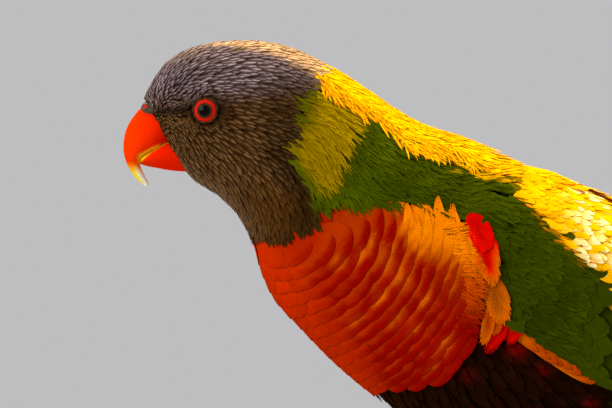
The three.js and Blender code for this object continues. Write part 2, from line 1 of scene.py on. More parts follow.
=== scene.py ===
# A rainbow lorikeet, dressed with skin, feathers, bill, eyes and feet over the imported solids.
# Lengths are millimetres in the solids' own frame until a mesh is made. The bird faces -X.
import copy
import math
from types import SimpleNamespace

import bpy
import numpy as np
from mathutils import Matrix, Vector
from mathutils.bvhtree import BVHTree


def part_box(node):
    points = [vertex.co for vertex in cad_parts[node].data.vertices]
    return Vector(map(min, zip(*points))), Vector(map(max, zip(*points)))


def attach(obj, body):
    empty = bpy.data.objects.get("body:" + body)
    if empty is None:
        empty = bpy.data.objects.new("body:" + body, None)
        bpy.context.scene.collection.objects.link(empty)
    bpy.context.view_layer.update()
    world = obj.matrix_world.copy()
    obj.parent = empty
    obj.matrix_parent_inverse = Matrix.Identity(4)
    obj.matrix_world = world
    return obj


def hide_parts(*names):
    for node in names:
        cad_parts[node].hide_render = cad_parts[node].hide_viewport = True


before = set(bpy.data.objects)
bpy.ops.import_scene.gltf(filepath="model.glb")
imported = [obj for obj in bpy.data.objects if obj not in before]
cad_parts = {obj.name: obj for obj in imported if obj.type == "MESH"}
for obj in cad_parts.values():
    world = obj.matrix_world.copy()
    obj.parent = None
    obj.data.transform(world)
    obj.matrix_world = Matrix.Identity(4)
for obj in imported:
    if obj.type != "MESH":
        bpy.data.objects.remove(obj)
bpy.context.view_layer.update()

MM = 0.001
BILL_FRONT = -119.0  # x of the bill's foremost point
ORIGIN_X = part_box("bill_upper")[0].x / MM - BILL_FRONT
SHIFT = np.array([ORIGIN_X, 0, 0])
SIDES = {"left": -1, "right": 1}
rng = np.random.default_rng(7)

# The photo's scale and the pixel of x = 0, z = 0
PX_MM = 0.255
PX_ORIGIN = 590.0
PHOTO_SIZE = (612, 408)


def photo(points):
    """Pixel column and row of points, seen from the bird's left side."""
    return PX_ORIGIN + points[..., 0] / PX_MM, PX_ORIGIN - points[..., 2] / PX_MM


def srgb(r, g, b):
    """Linear colour of an 8-bit screen colour."""
    c = np.array([r, g, b]) / 255
    return np.where(c <= 0.04045, c / 12.92, ((c + 0.055) / 1.055) ** 2.4)


def smoothstep(low, high, x):
    """From 0 at low to 1 at high, with soft ends."""
    t = np.clip((x - low) / (high - low), 0, 1)
    return t * t * (3 - 2 * t)


def window(x, start, full, fading, end):
    """0 outside start and end, 1 between full and fading."""
    return smoothstep(start, full, x) * smoothstep(end, fading, x)


def hill(x, middle, half):
    """1 at the middle, falling away round it."""
    return np.exp(-(((x - middle) / half) ** 2))


def unit(v):
    """Vectors of length 1."""
    return v / np.maximum(np.linalg.norm(v, axis=-1, keepdims=True), 1e-12)


def tangent(ways, normals):
    """Ways turned into the surface that has these normals."""
    return unit(ways - normals * (ways * normals).sum(-1, keepdims=True))


def mix(a, b, share):
    """From a at 0 to b at 1."""
    return a + (b - a) * share


def paint(colour, other, share):
    """Colours mixed with another by an array of shares."""
    return mix(colour, other, share[..., None])


def line(knots):
    """A function through knots (at, value) with straight stretches."""
    at, value = np.array(knots, float).T
    return lambda x: np.interp(x, at, value)


# Surfaces that feathers lie on


class Bed:
    """A grid of points over u and v from 0 to 1. Where it is closed, v runs once round."""

    def __init__(self, grid, inside, closed=False):
        self.grid, self.closed = grid, closed
        rows, columns = grid.shape[:2]
        self.by_u = np.gradient(grid, axis=0) * (rows - 1)
        if closed:
            self.by_v = (np.roll(grid, -1, 1) - np.roll(grid, 1, 1)) / 2 * columns
        else:
            self.by_v = np.gradient(grid, axis=1) * (columns - 1)
        normal = unit(np.cross(self.by_u, self.by_v))
        self.normal = normal if np.mean(np.sum(normal * (grid - inside), -1)) > 0 else -normal
        self.depth = np.zeros((rows, columns))
        self.cover = np.zeros((rows, columns))

    def sample(self, values, u, v):
        """Values of the grid's points, read between them at u and v."""
        rows, columns = values.shape[:2]
        x = np.clip(u, 0, 1) * (rows - 1)
        i = np.minimum(x.astype(int), rows - 2)
        fx = x - i
        if self.closed:
            y = np.mod(v, 1) * columns
            j = y.astype(int) % columns
            k = (j + 1) % columns
            fy = y - np.floor(y)
        else:
            y = np.clip(v, 0, 1) * (columns - 1)
            j = np.minimum(y.astype(int), columns - 2)
            k = j + 1
            fy = y - j
        if values.ndim == 3:
            fx, fy = fx[..., None], fy[..., None]
        near = values[i, j] * (1 - fy) + values[i, k] * fy
        far = values[i + 1, j] * (1 - fy) + values[i + 1, k] * fy
        return near * (1 - fx) + far * fx

    def at(self, places):
        """Points of the surface at places (u, v)."""
        return self.sample(self.grid, *places.T)

    def out(self, places):
        """Ways out of the surface at places (u, v)."""
        return self.sample(self.normal, *places.T)

    def steps(self, u, v, way):
        """Changes of u and v that move a millimetre along way."""
        pu, pv = self.sample(self.by_u, u, v), self.sample(self.by_v, u, v)
        e, f, g = (pu * pu).sum(-1), (pu * pv).sum(-1), (pv * pv).sum(-1)
        a, b = (way * pu).sum(-1), (way * pv).sum(-1)
        det = e * g - f * f
        return (a * g - b * f) / det, (b * e - a * f) / det

    def move(self, places, ways):
        """Places moved along ways, which are in millimetres."""
        return places + np.stack(self.steps(*places.T, ways), -1)


def node_tree(names):
    """The nodes' surfaces in millimetres, for ray casts."""
    vertices, faces = [], []
    for name in names:
        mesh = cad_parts[name].data
        base = len(vertices)
        vertices += [(v.co.x / MM - ORIGIN_X, v.co.y / MM, v.co.z / MM) for v in mesh.vertices]
        faces += [[base + i for i in p.vertices] for p in mesh.polygons]
    return BVHTree.FromPolygons(vertices, faces)


def cast_radii(tree, centres, ways, reach=90.0):
    """How far the surface lies from each centre along each way, by casts from outside."""
    radii = np.full(ways.shape[:2], np.nan)
    for i, j in np.ndindex(radii.shape):
        start = centres[i] + ways[i, j] * reach
        hit = tree.ray_cast(Vector(start), Vector(-ways[i, j]), reach)[0]
        if hit is not None:
            radii[i, j] = (Vector(centres[i]) - hit).length
    radii[radii >= reach] = np.nan
    return radii


def tidy_radii(radii, near=2, jump=0.4):
    """Closes the thin cuts between nodes with a median along u."""
    stack = [np.roll(radii, k, 0) for k in range(-near, near + 1)]
    middle = np.nanmedian(stack[near:] + stack[:near], axis=0)
    middle[:near], middle[-near:] = radii[:near], radii[-near:]
    off = np.isnan(radii) | (np.abs(radii - middle) > jump)
    return np.where(off, middle, radii)


def blur(values, times):
    """Evens out a grid that is closed round its columns."""
    for _ in range(times):
        up, down = np.vstack([values[:1], values[:-1]]), np.vstack([values[1:], values[-1:]])
        left, right = np.roll(values, 1, 1), np.roll(values, -1, 1)
        values = (values * 4 + up + down + left + right) / 8
    return values


# Lines over and under the body that the sections run between: (x, z) above, (x, z) below
GUIDES = [
    ((-114, 125.5), (-103.5, 106.6)),
    ((-108.4, 134.4), (-100.2, 103.8)),
    ((-89.2, 140.3), (-90.3, 96.1)),
    ((-70.1, 135.9), (-85.4, 86)),
    ((-51, 123.8), (-80.3, 73.4)),
    ((-31.9, 115.6), (-66.6, 59)),
    ((-7.7, 104.5), (-40.8, 39.6)),
    ((25.5, 86.2), (15.3, 29.8)),
    ((43.4, 75), (38.2, 38)),
    ((56, 67), (54, 42.6)),
]
BODY_ROWS, BODY_COLUMNS = 190, 144


def spline(points, count):
    """Points evenly spread along a smooth curve through the given ones."""
    points = np.array(points, float)
    padded = np.vstack([2 * points[0] - points[1], points, 2 * points[-1] - points[-2]])
    t = np.linspace(0, 1, 40, endpoint=False)[:, None]
    dense = []
    for a, b, c, d in zip(padded, padded[1:], padded[2:], padded[3:]):
        square, cube = 2 * a - 5 * b + 4 * c - d, 3 * b - a - 3 * c + d
        dense.append(0.5 * (2 * b + (c - a) * t + square * t**2 + cube * t**3))
    dense = np.vstack([*dense, points[-1:]])
    length = np.concatenate([[0], np.cumsum(np.linalg.norm(np.diff(dense, axis=0), axis=1))])
    at = np.linspace(0, length[-1], count)
    return np.stack([np.interp(at, length, column) for column in dense.T], 1)


def ring_angles(count):
    """Angles once round, from 0."""
    return np.arange(count) / count * 2 * math.pi


def fan(guides, rows, columns):
    """Section centres and the ways out of them, from guide lines."""
    pairs = spline([(*a, *b) for a, b in guides], rows)
    top = np.stack([pairs[:, 0], np.zeros(rows), pairs[:, 1]], 1)
    bottom = np.stack([pairs[:, 2], np.zeros(rows), pairs[:, 3]], 1)
    up = unit(top - bottom)
    phi = ring_angles(columns)[None, :, None]
    side = np.array([0.0, -1.0, 0.0])
    return (top + bottom) / 2, np.cos(phi) * up[:, None] + np.sin(phi) * side


EYES = {f"eye_{side}": np.array(sum(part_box(f"eye_{side}"), Vector()) / 2) / MM - SHIFT for side in SIDES}
EYE_RADIUS = 4.4
EYE_AT = np.array([-98.15, 122.05])  # x and z where the eye meets the head's side


def eye_frame(centre):
    """Outward axis of an eye and two ways across it."""
    out = np.array([EYE_AT[0] - centre[0], 0, EYE_AT[1] - centre[2]]) / EYE_RADIUS
    out[1] = math.copysign(math.sqrt(1 - out @ out), centre[1])
    up = unit(np.array([0, 0, 1.0]) - out * out[2])
    return out, up, np.cross(out, up)


FAR = 99.0  # stands for the distance to an eye on the other side


def eye_gap(points):
    """Distance from the axis of the nearer eye, for points on its side of the head."""
    gaps = []
    for eye in EYES.values():
        out = eye_frame(eye)[0]
        reach = points - eye
        ahead = reach @ out
        across = np.linalg.norm(reach - ahead[..., None] * out, axis=-1)
        gaps.append(np.where(ahead > -3, across, FAR))
    return np.min(gaps, axis=0)


SOCKET = 7.2  # round an eye's middle, where the head is made smooth


def make_body_bed():
    """The body from bill to tail, with how far the wings stand over it."""
    centres, ways = fan(GUIDES, BODY_ROWS, BODY_COLUMNS)
    nodes = ["head", "neck", "torso", "tail"]
    radii = tidy_radii(cast_radii(node_tree(nodes), centres, ways))
    grid = centres[:, None] + ways * radii[..., None]
    near_eye = np.min([np.linalg.norm(grid - e, axis=-1) for e in EYES.values()], axis=0) < SOCKET
    for _ in range(300):
        radii = np.where(near_eye, blur(radii, 1), radii)
    radii = blur(radii, 2)
    bed = Bed(centres[:, None] + ways * radii[..., None], centres[:, None], closed=True)
    dressed = cast_radii(node_tree([*nodes, "wing_left", "wing_right"]), centres, ways)
    dressed = np.where(np.isnan(dressed), radii, dressed)
    cover = np.clip(dressed - radii, 0, None)
    bed.under_wing = blur(cover, 1)
    for _ in range(4):
        rows = np.pad(cover, ((1, 1), (0, 0)), "edge")
        cover = np.max([rows[:-2], rows[2:], np.roll(cover, 1, 1), np.roll(cover, -1, 1)], axis=0)
    bed.cover = blur(cover, 12)
    return bed


body = make_body_bed()
FACE = (150, 120)  # pixel between the bill and the eye, where the coat is thinnest


def coat_depth(points):
    """How far the skin lies below the coat's surface."""
    px, py = photo(points)
    return mix(0.55, 2.3, smoothstep(20, 330, np.hypot(px - FACE[0], py - FACE[1])))


body.depth = coat_depth(body.grid)

# Wing: a surface round a slanted axis, as in the solids
WING_START = np.array([-31.9, 90.5])
WING_SLOPE = math.radians(22)
WING_LENGTH = 150.0
WING_ACROSS = (-36.0, 26.0)  # millimetres above and below the widest line
WING_HALF = [(0, 30.8), (20, 32.2), (45, 31.8), (75, 27.3), (105, 21.5), (130, 17.5), (150, 15)]
WING_RISE = [(0, 26), (20, 25.5), (45, 22.5), (75, 17.5), (105, 13.5), (130, 11), (150, 9)]
WING_DROP = 60.0


def smooth_line(knots):
    """A function through knots (at, value) without corners."""
    at, value = np.array(knots, float).T
    slope = np.gradient(value, at)

    def read(x):
        x = np.clip(x, at[0], at[-1])
        i = np.clip(np.searchsorted(at, x) - 1, 0, len(at) - 2)
        span = at[i + 1] - at[i]
        s = (x - at[i]) / span
        rise = value[i] * (2 * s**3 - 3 * s**2 + 1) + value[i + 1] * (3 * s**2 - 2 * s**3)
        return rise + span * (slope[i] * (s**3 - 2 * s**2 + s) + slope[i + 1] * (s**3 - s**2))

    return read


def slanted(start, slope, along, lift):
    """x and z at a distance along a line that falls to the rear, and lifted off it."""
    c, s = math.cos(slope), math.sin(slope)
    return start[0] + along * c + lift * s, start[1] - along * s + lift * c


WING_FRONT_SINK = 1.3  # the front of the wing lies lower by this, so that it blends with the breast
WING_TOP_SINK = 0.8  # the same for its upper edge, on the back


def make_wing_bed(sign):
    """One wing's surface, with u along the wing and v down it."""
    along = np.linspace(0, WING_LENGTH, 120)[:, None]
    across = np.linspace(*WING_ACROSS, 70)[None]
    half = smooth_line(WING_HALF)(along)
    rise = smooth_line(WING_RISE)(along) - WING_FRONT_SINK * smoothstep(24, 2, along)
    quarter = math.pi / 2 * np.sqrt((half**2 + rise**2) / 2)
    below = across > 0
    theta = math.pi / 2 * (1 + np.where(below, 0, across / quarter)) + np.where(below, across / WING_DROP, 0)
    up = np.where(below, WING_DROP, rise) * np.cos(theta)
    x, z = slanted(WING_START, WING_SLOPE, along, up)
    inner_x, inner_z = slanted(WING_START, WING_SLOPE, along, 0 * up)
    grid = np.stack(np.broadcast_arrays(x, sign * half * np.sin(theta), z), -1)
    inside = np.stack([inner_x, 0 * inner_x, inner_z], -1)
    sink = WING_TOP_SINK * smoothstep(-28, -35, across)
    return Bed(grid - Bed(grid, inside).normal * sink[..., None], inside)


# Tail: a slightly domed sheet behind the rump
TAIL_START = np.array([37.0, 69.0])
TAIL_SLOPE = math.radians(25)
TAIL_LENGTH = 124.0
TAIL_HALF = 16.0
TAIL_DOME = 90.0  # twice the radius of its dome


def make_tail_bed():
    """The tail's surface, with u along the tail and v across it."""
    along = np.linspace(0, TAIL_LENGTH, 80)[:, None]
    across = np.linspace(-TAIL_HALF, TAIL_HALF, 40)[None]
    x, z = slanted(TAIL_START, TAIL_SLOPE, along, -(across**2) / TAIL_DOME)
    grid = np.stack(np.broadcast_arrays(x, across, z), -1)
    return Bed(grid, grid - np.array([0, 0, 5.0]))


wing_beds = {side: make_wing_bed(sign) for side, sign in SIDES.items()}
tail_bed = make_tail_bed()

# Meshes


def link(name, data):
    """A new object in the scene."""
    piece = bpy.data.objects.new(name, data)
    bpy.context.scene.collection.objects.link(piece)
    return piece


def make_object(name, vertices, faces, material):
    """A smooth mesh object from points in millimetres."""
    mesh = bpy.data.meshes.new(name)
    world = (np.asarray(vertices, float) + SHIFT) * MM
    faces = np.asarray(faces, np.int32)
    mesh.vertices.add(len(world))
    mesh.vertices.foreach_set("co", world.astype(np.float32).ravel())
    mesh.loops.add(faces.size)
    mesh.loops.foreach_set("vertex_index", faces.ravel())
    mesh.polygons.add(len(faces))
    mesh.polygons.foreach_set("loop_start", np.arange(0, faces.size, faces.shape[1], dtype=np.int32))
    mesh.polygons.foreach_set("use_smooth", np.ones(len(faces), bool))
    mesh.update(calc_edges=True)
    mesh.validate()
    mesh.materials.append(material)
    return link(name, mesh)


def set_tint(piece, colours):
    """A linear colour for each vertex."""
    rgba = np.ones((len(colours), 4), np.float32)
    rgba[:, :3] = np.clip(colours, 0, 1)
    layer = piece.data.color_attributes.new("Tint", "FLOAT_COLOR", "POINT")
    layer.data.foreach_set("color", rgba.ravel())


def set_uv(piece, name, by_vertex):
    """A UV map from a place for each vertex."""
    mesh = piece.data
    index = np.zeros(len(mesh.loops), np.int32)
    mesh.loops.foreach_get("vertex_index", index)
    layer = mesh.uv_layers.new(name=name)
    layer.data.foreach_set("uv", by_vertex[index].astype(np.float32).ravel())


def mark_sharp(piece, rim):
    """Shades the faces on either side of edges between rim vertices apart."""
    mesh = piece.data
    pairs = np.zeros(len(mesh.edges) * 2, np.int32)
    mesh.edges.foreach_get("vertices", pairs)
    sharp = rim[pairs.reshape(-1, 2)].all(1)
    layer = mesh.attributes.get("sharp_edge") or mesh.attributes.new("sharp_edge", "BOOLEAN", "EDGE")
    layer.data.foreach_set("value", sharp)


def ride(piece, slot, *nodes):
    """Fixes a piece to the model's one body in place of nodes, which it hides. slot is not used."""
    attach(piece, "root")
    if nodes:
        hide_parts(*nodes)


# Feathers


def outline(point, base=0.5, power=2.0):
    """Share of the full width along a feather: base at the root, full at point, then round to the tip."""

    def read(s):
        rise = mix(base, 1, smoothstep(0, point * 0.7, s))
        over = np.clip((s - point) / (1 - point), 0, 1)
        return rise * np.maximum(1 - over**power, 0.0) ** (1 / power)

    return read


class Plumes:
    """Many like feathers on one bed. Each is a closed vane, rounded above and flat below."""

    def __init__(self, bed, root, tip, width, low, high, *, rows=5, columns=3, shape=outline(0.5),
                 camber=0.3, thickness=0.16, tilt=0.0, fringe=0.0, crowd=1.3, lift_power=1.0, over=1.0,
                 pinch=1.0):
        count = len(root)
        s = 1 - (1 - np.linspace(0, 1, rows)) ** crowd
        c = np.linspace(-1, 1, columns)
        c = np.sign(c) * np.abs(c) ** pinch
        step = (tip - root)[:, None]
        spine = root[:, None] + step * s[None, :, None]
        u, v = spine[..., 0], spine[..., 1]
        course = bed.sample(bed.by_u, u, v) * step[..., :1] + bed.sample(bed.by_v, u, v) * step[..., 1:]
        side = unit(np.cross(bed.sample(bed.normal, u, v), unit(course)))
        su, sv = bed.steps(u, v, side)
        share = np.maximum(shape(s), 0.05)[None] * np.ones((count, 1))
        if fringe:
            share = share * (1 - fringe * (np.arange(rows) % 2) * rng.uniform(0.4, 1.3, (count, rows)))
        self.width = np.broadcast_to(width, (count,))
        self.reach = share * self.width[:, None] / 2
        offset = self.reach[..., None] * c
        uu, vv = u[..., None] + offset * su[..., None], v[..., None] + offset * sv[..., None]
        low, high = (np.broadcast_to(a, (count,))[:, None, None] for a in (low, high))
        height = low + (high - low) * (s**lift_power)[None, :, None]
        height = height - camber * (c**2) * share[..., None] + tilt * c
        normals = bed.sample(bed.normal, uu, vv)
        raised = height + over * bed.sample(bed.cover, uu, vv)
        self.at = bed.sample(bed.grid, uu, vv) + normals * raised[..., None]
        spine = self.at[:, :, columns // 2]
        below = spine - normals[:, :, columns // 2] * (thickness + 0.5 * camber * share)[..., None]
        self.count, self.rows, self.columns = count, rows, columns
        self.vertices = np.concatenate([self.at.reshape(count, -1, 3), below], 1)
        self.root, self.s, self.c = root, s, c
        self.length = np.linalg.norm(spine[:, -1] - spine[:, 0], axis=-1)

    def faces(self):
        """Triangles of the feathers: above, below and both ends."""
        r, c = self.rows, self.columns
        low = r * c
        one = []
        for i in range(r - 1):
            for j in range(c - 1):
                a, b, d, e = i * c + j, i * c + j + 1, (i + 1) * c + j, (i + 1) * c + j + 1
                one += [(a, d, e), (a, e, b)]
            left, right = i * c, i * c + c - 1
            one += [(left, low + i, low + i + 1), (left, low + i + 1, left + c)]
            one += [(low + i, right, right + c), (low + i, right + c, low + i + 1)]
        for i, flip in ((0, False), (r - 1, True)):
            rim = [i * c + j for j in range(c)]
            for a, b in zip(rim, rim[1:]):
                one.append((low + i, b, a) if flip else (low + i, a, b))
        return (np.array(one) + (np.arange(self.count) * (low + r))[:, None, None]).reshape(-1, 3)

    def spread(self, above):
        """Values for each vertex, from values on the upper side; the lower side takes the middle's."""
        middle = above[:, :, self.columns // 2]
        return np.concatenate([above.reshape(self.count, -1, above.shape[-1]), middle], 1)

    def inset(self):
        """Millimetres in from the outline, for each point above."""
        ahead = (1 - self.s)[None, :, None] * self.length[:, None, None]
        return np.minimum(ahead, (1 - np.abs(self.c)) * self.reach[..., None])

    def vane_uv(self):
        """Millimetres across and along each feather, for the barbs."""
        across = self.c[None, None] * self.width[:, None, None] / 2 * np.ones((1, self.rows, 1))
        along = self.s[None, :, None] * self.length[:, None, None] * np.ones((1, 1, self.columns))
        shift = rng.uniform(0, 40, (self.count, 1, 1))
        return self.spread(np.stack([across, along + shift], -1))

    def bake_uv(self):
        """A small patch for each feather at its root's place on the bed."""
        patch = 0.003
        place = 0.01 + 0.98 * np.mod(self.root, 1)
        across = (self.c[None, None] * 0.5 * patch) * np.ones((self.count, self.rows, 1))
        along = (self.s[None, :, None] - 0.5) * patch * np.ones((self.count, 1, self.columns))
        return self.spread(np.stack([across, along], -1)) + place[:, None]

    def rim(self):
        """Which vertices are on the outline."""
        flag = np.zeros((self.count, self.rows, self.columns), bool)
        flag[:, :, [0, -1]] = True
        flag[:, [0, -1]] = True
        return np.concatenate([flag.reshape(self.count, -1), np.zeros((self.count, self.rows), bool)], 1)


def join_plumes(name, groups, material, slot, *nodes):
    """One object from (plumes, colours above) pairs."""
    faces, base = [], 0
    for plumes, _ in groups:
        faces.append(plumes.faces() + base)
        base += plumes.vertices.size // 3
    rows = [(p.vertices, p.spread(colours), p.vane_uv(), p.bake_uv()) for p, colours in groups]
    vertices, tints, vanes, bakes = (
        np.vstack([part.reshape(-1, part.shape[-1]) for part in parts]) for parts in zip(*rows)
    )
    piece = make_object(name, vertices, np.vstack(faces), material)
    set_tint(piece, tints)
    set_uv(piece, "OFBake", bakes)
    set_uv(piece, "Vane", vanes)
    mark_sharp(piece, np.concatenate([plumes.rim().ravel() for plumes, _ in groups]))
    ride(piece, slot, *nodes)


# Markings, read on the photo's side view


WAVES = [(1.7, 2.3, 1.1), (-2.9, 1.3, 2.1), (0.9, -3.1, 1.9), (4.1, 2.2, -3.3)]


def wobble(points, size, seed=0.0):
    """A smooth random value from about -1 to 1."""
    p = points / size + seed
    total = np.zeros(p.shape[:-1])
    for k, (a, b, c) in enumerate(WAVES):
        total += np.sin(a * p[..., 0] + b * p[..., 1] + c * p[..., 2] + 1.3 * k)
    return total / 2.2


HOOD_REAR = line([(40, 336), (60, 333), (80, 325), (95, 316), (103, 311), (121, 306), (132, 302), (140, 300),
                  (150, 290), (162, 292), (174, 300), (184, 307), (199, 316), (218, 318), (232, 312),
                  (246, 300)])
HOOD_FOOT = line([(240, 243), (262, 246), (285, 248), (297, 243), (311, 236), (325, 228)])
COLLAR_REAR = line([(60, 372), (96, 372), (121, 372), (145, 358), (170, 352), (196, 335), (208, 318)])
# The gold above GOLD_FOOT is painted sunlight over the green mantle and back; on the nape it is partly the
# bird's own yellow-green.
GOLD_FOOT = line([(200, 44), (246, 46), (276, 53), (290, 64), (305, 75), (322, 88), (337, 98), (358, 113),
                  (373, 118), (392, 138), (411, 152), (437, 155), (454, 157), (471, 166), (492, 179),
                  (509, 189), (526, 212), (543, 229), (557, 248), (577, 263), (593, 285), (610, 297),
                  (700, 300), (800, 290)])
BREAST_TOP = line([(250, 245), (297, 246), (310, 238), (323, 231), (335, 222), (351, 217), (373, 219),
                   (401, 216), (422, 213), (444, 214), (458, 224), (470, 222), (480, 219), (486, 226)])
BREAST_REAR = line([(219, 486), (247, 489), (264, 496), (281, 497), (295, 506), (316, 504), (330, 500),
                    (352, 488), (366, 473), (378, 454), (386, 440), (392, 396), (398, 380)])
BACK_LINE = line([(150, 82), (180, 52), (210, 41), (255, 41), (285, 45), (315, 57), (345, 73), (375, 91),
                  (405, 115), (435, 129), (465, 136), (495, 149), (525, 164), (555, 178), (585, 190),
                  (612, 208), (700, 260), (830, 330)])


class Shade:
    """Linear colours of the coat."""

    crown = srgb(66, 47, 40)
    lilac = srgb(186, 164, 180)
    cheek = srgb(62, 37, 13)
    tan = srgb(160, 118, 72)
    # peach: painted sunlight on the crown's edge.
    peach = srgb(255, 214, 160)
    throat = srgb(77, 47, 13)
    lore = srgb(24, 13, 6)
    collar = srgb(150, 120, 0)
    green = srgb(76, 90, 0)
    deep_green = srgb(54, 64, 0)
    # gold and lemon: painted sunlight over the green mantle, back and wing top, and on the nape partly the
    # bird's own yellow-green.
    gold = srgb(244, 143, 0)
    lemon = srgb(252, 186, 0)
    # Painted highlight: the sun's glints on the wing's golden feathers.
    painted_glint = srgb(255, 250, 185)
    red = srgb(146, 6, 0)
    blood = srgb(172, 26, 0)
    bright_red = srgb(228, 8, 0)
    orange = srgb(255, 134, 0)
    ember = srgb(192, 68, 0)
    amber = srgb(216, 98, 0)
    rust = srgb(186, 86, 4)
    scarlet = srgb(190, 40, 0)
    belly = srgb(30, 10, 4)
    vent = srgb(140, 146, 10)
    bare = srgb(58, 40, 18)
    shade = srgb(58, 38, 12)


def gold_fade(px):
    """1 on the nape and mantle, falling to 0 towards the rump; it bounds the gold of painted sunlight."""
    return smoothstep(750, 600, px)


def markings(points):
    """Kind and colour of the coat at points, as shares of its parts and as colours."""
    px, py = photo(points)
    jitter = wobble(points, 5.0)
    edge = 3.0 * jitter + 2.0 * wobble(points, 1.8, 4.0)
    behind_hood = px - HOOD_REAR(py)
    hood = smoothstep(5, -5, behind_hood + edge) * smoothstep(3, -3, py - HOOD_FOOT(px) + 0.3 * edge)
    crown = hood * smoothstep(118, 84, py + 0.12 * (px - 200))
    throat = hood * smoothstep(165, 215, py)
    collar = smoothstep(5, -5, px - COLLAR_REAR(py) + edge) * smoothstep(214, 200, py + edge)
    rim = smoothstep(19, 2, behind_hood) * mix(1.0, 0.6, smoothstep(12, 4, np.abs(py - 143)))
    collar = collar * (1 - 0.85 * np.clip(rim + 0.3 * jitter * rim, 0, 1))
    # Painted sunlight: gold over the nape, mantle and back, on the nape partly its own yellow-green.
    gold = smoothstep(5, -5, py - GOLD_FOOT(px) + 2 * edge) * gold_fade(px + 3 * edge)
    behind_breast = px - BREAST_REAR(py) + edge
    breast = smoothstep(-3, 3, py - BREAST_TOP(px) + edge) * smoothstep(3, -3, behind_breast)
    rearward = px + 0.3 * (py - 350) + 2 * edge
    belly = smoothstep(-5, 5, behind_breast) * smoothstep(300, 330, py) * smoothstep(690, 620, rearward)
    vent = smoothstep(620, 690, rearward) * smoothstep(330, 400, py)
    tone = 0.5 + 0.5 * wobble(points, 9.0, 2.0)
    plain = paint(Shade.green, Shade.deep_green, 0.6 * tone)
    # Painted shade: the green is darker between px 385 and 530, where the sun lamp lights the neck and
    # shoulder.
    plain = plain * mix(0.86, 0.68, window(px, 385, 430, 490, 530))[..., None]
    # Painted sunlight: lemon on the nape, turning gold towards the back.
    sunny = paint(Shade.lemon, Shade.gold, smoothstep(430, 620, px))
    foot = smoothstep(335, 315, px) * smoothstep(204, 222, py)
    for share, shade in ((vent, Shade.vent), (belly, Shade.belly), (collar, Shade.collar), (gold, sunny)):
        plain = paint(plain, shade, share)
    orange = smoothstep(250, 222, py - 0.25 * (px - 430)) * window(px, 385, 425, 460, 478)
    orange = np.clip(orange + 0.25 * smoothstep(-0.2, 1.0, wobble(points, 7.0, 9.0)), 0, 1)
    warm = paint(paint(Shade.red, Shade.scarlet, tone), Shade.orange, orange)
    head = paint(paint(Shade.cheek, Shade.crown, crown), Shade.throat, throat)
    head = paint(head, Shade.lore, 0.8 * hill(py, 113, 5.0) * window(px, 152, 160, 184, 196))
    colour = paint(paint(plain, warm, breast), head, hood)
    return SimpleNamespace(
        px=px, py=py, hood=hood, crown=crown, throat=throat, gold=gold, breast=breast, belly=belly,
        foot=foot * (1 - hood), plain=paint(plain, Shade.shade, foot), colour=colour,
    )


# Lie of the coat on the side view: column, row, and the way right and down there
LIE = np.array([
    (150, 95, 0.5, -0.85), (175, 72, 0.8, -0.55), (215, 55, 1, -0.05), (270, 60, 0.95, 0.3),
    (200, 85, 1, -0.05), (170, 105, 1, -0.15), (235, 92, 1, 0.12), (240, 112, 1, 0.15),
    (290, 100, 0.9, 0.42), (185, 135, 0.7, 0.7), (212, 140, 0.86, 0.5), (250, 140, 0.92, 0.38),
    (190, 165, 0.5, 0.85), (230, 170, 0.75, 0.65), (270, 190, 0.65, 0.75), (215, 195, 0.55, 0.85),
    (250, 225, 0.5, 0.87), (330, 80, 0.85, 0.55), (330, 150, 0.55, 0.85), (400, 130, 0.6, 0.8),
    (380, 180, 0.75, 0.65), (450, 180, 0.85, 0.5), (520, 200, 0.65, 0.76), (590, 230, 0.6, 0.8),
    (275, 265, 0.1, 1), (300, 300, 0.3, 0.95), (345, 245, 0.35, 0.94), (350, 320, 0.45, 0.9),
    (400, 280, 0.65, 0.76), (400, 380, 0.5, 0.87), (440, 245, 0.93, 0.36), (440, 320, 0.7, 0.7),
    (482, 290, 0.98, 0.15), (480, 350, 0.75, 0.66), (560, 380, 0.9, 0.42), (640, 300, 0.9, 0.42),
    (700, 400, 0.93, 0.35), (780, 330, 0.9, 0.42),
])


def lie(points, normals):
    """The way the coat lies at points."""
    px, py = photo(points)
    gap = (px[..., None] - LIE[:, 0]) ** 2 + (py[..., None] - LIE[:, 1]) ** 2
    weight = 1 / (gap + 60) ** 1.6
    weight /= weight.sum(-1, keepdims=True)
    across, down = (weight * LIE[:, 2]).sum(-1), (weight * LIE[:, 3]).sum(-1)
    return tangent(np.stack([across, 0 * across, -down], -1), normals)


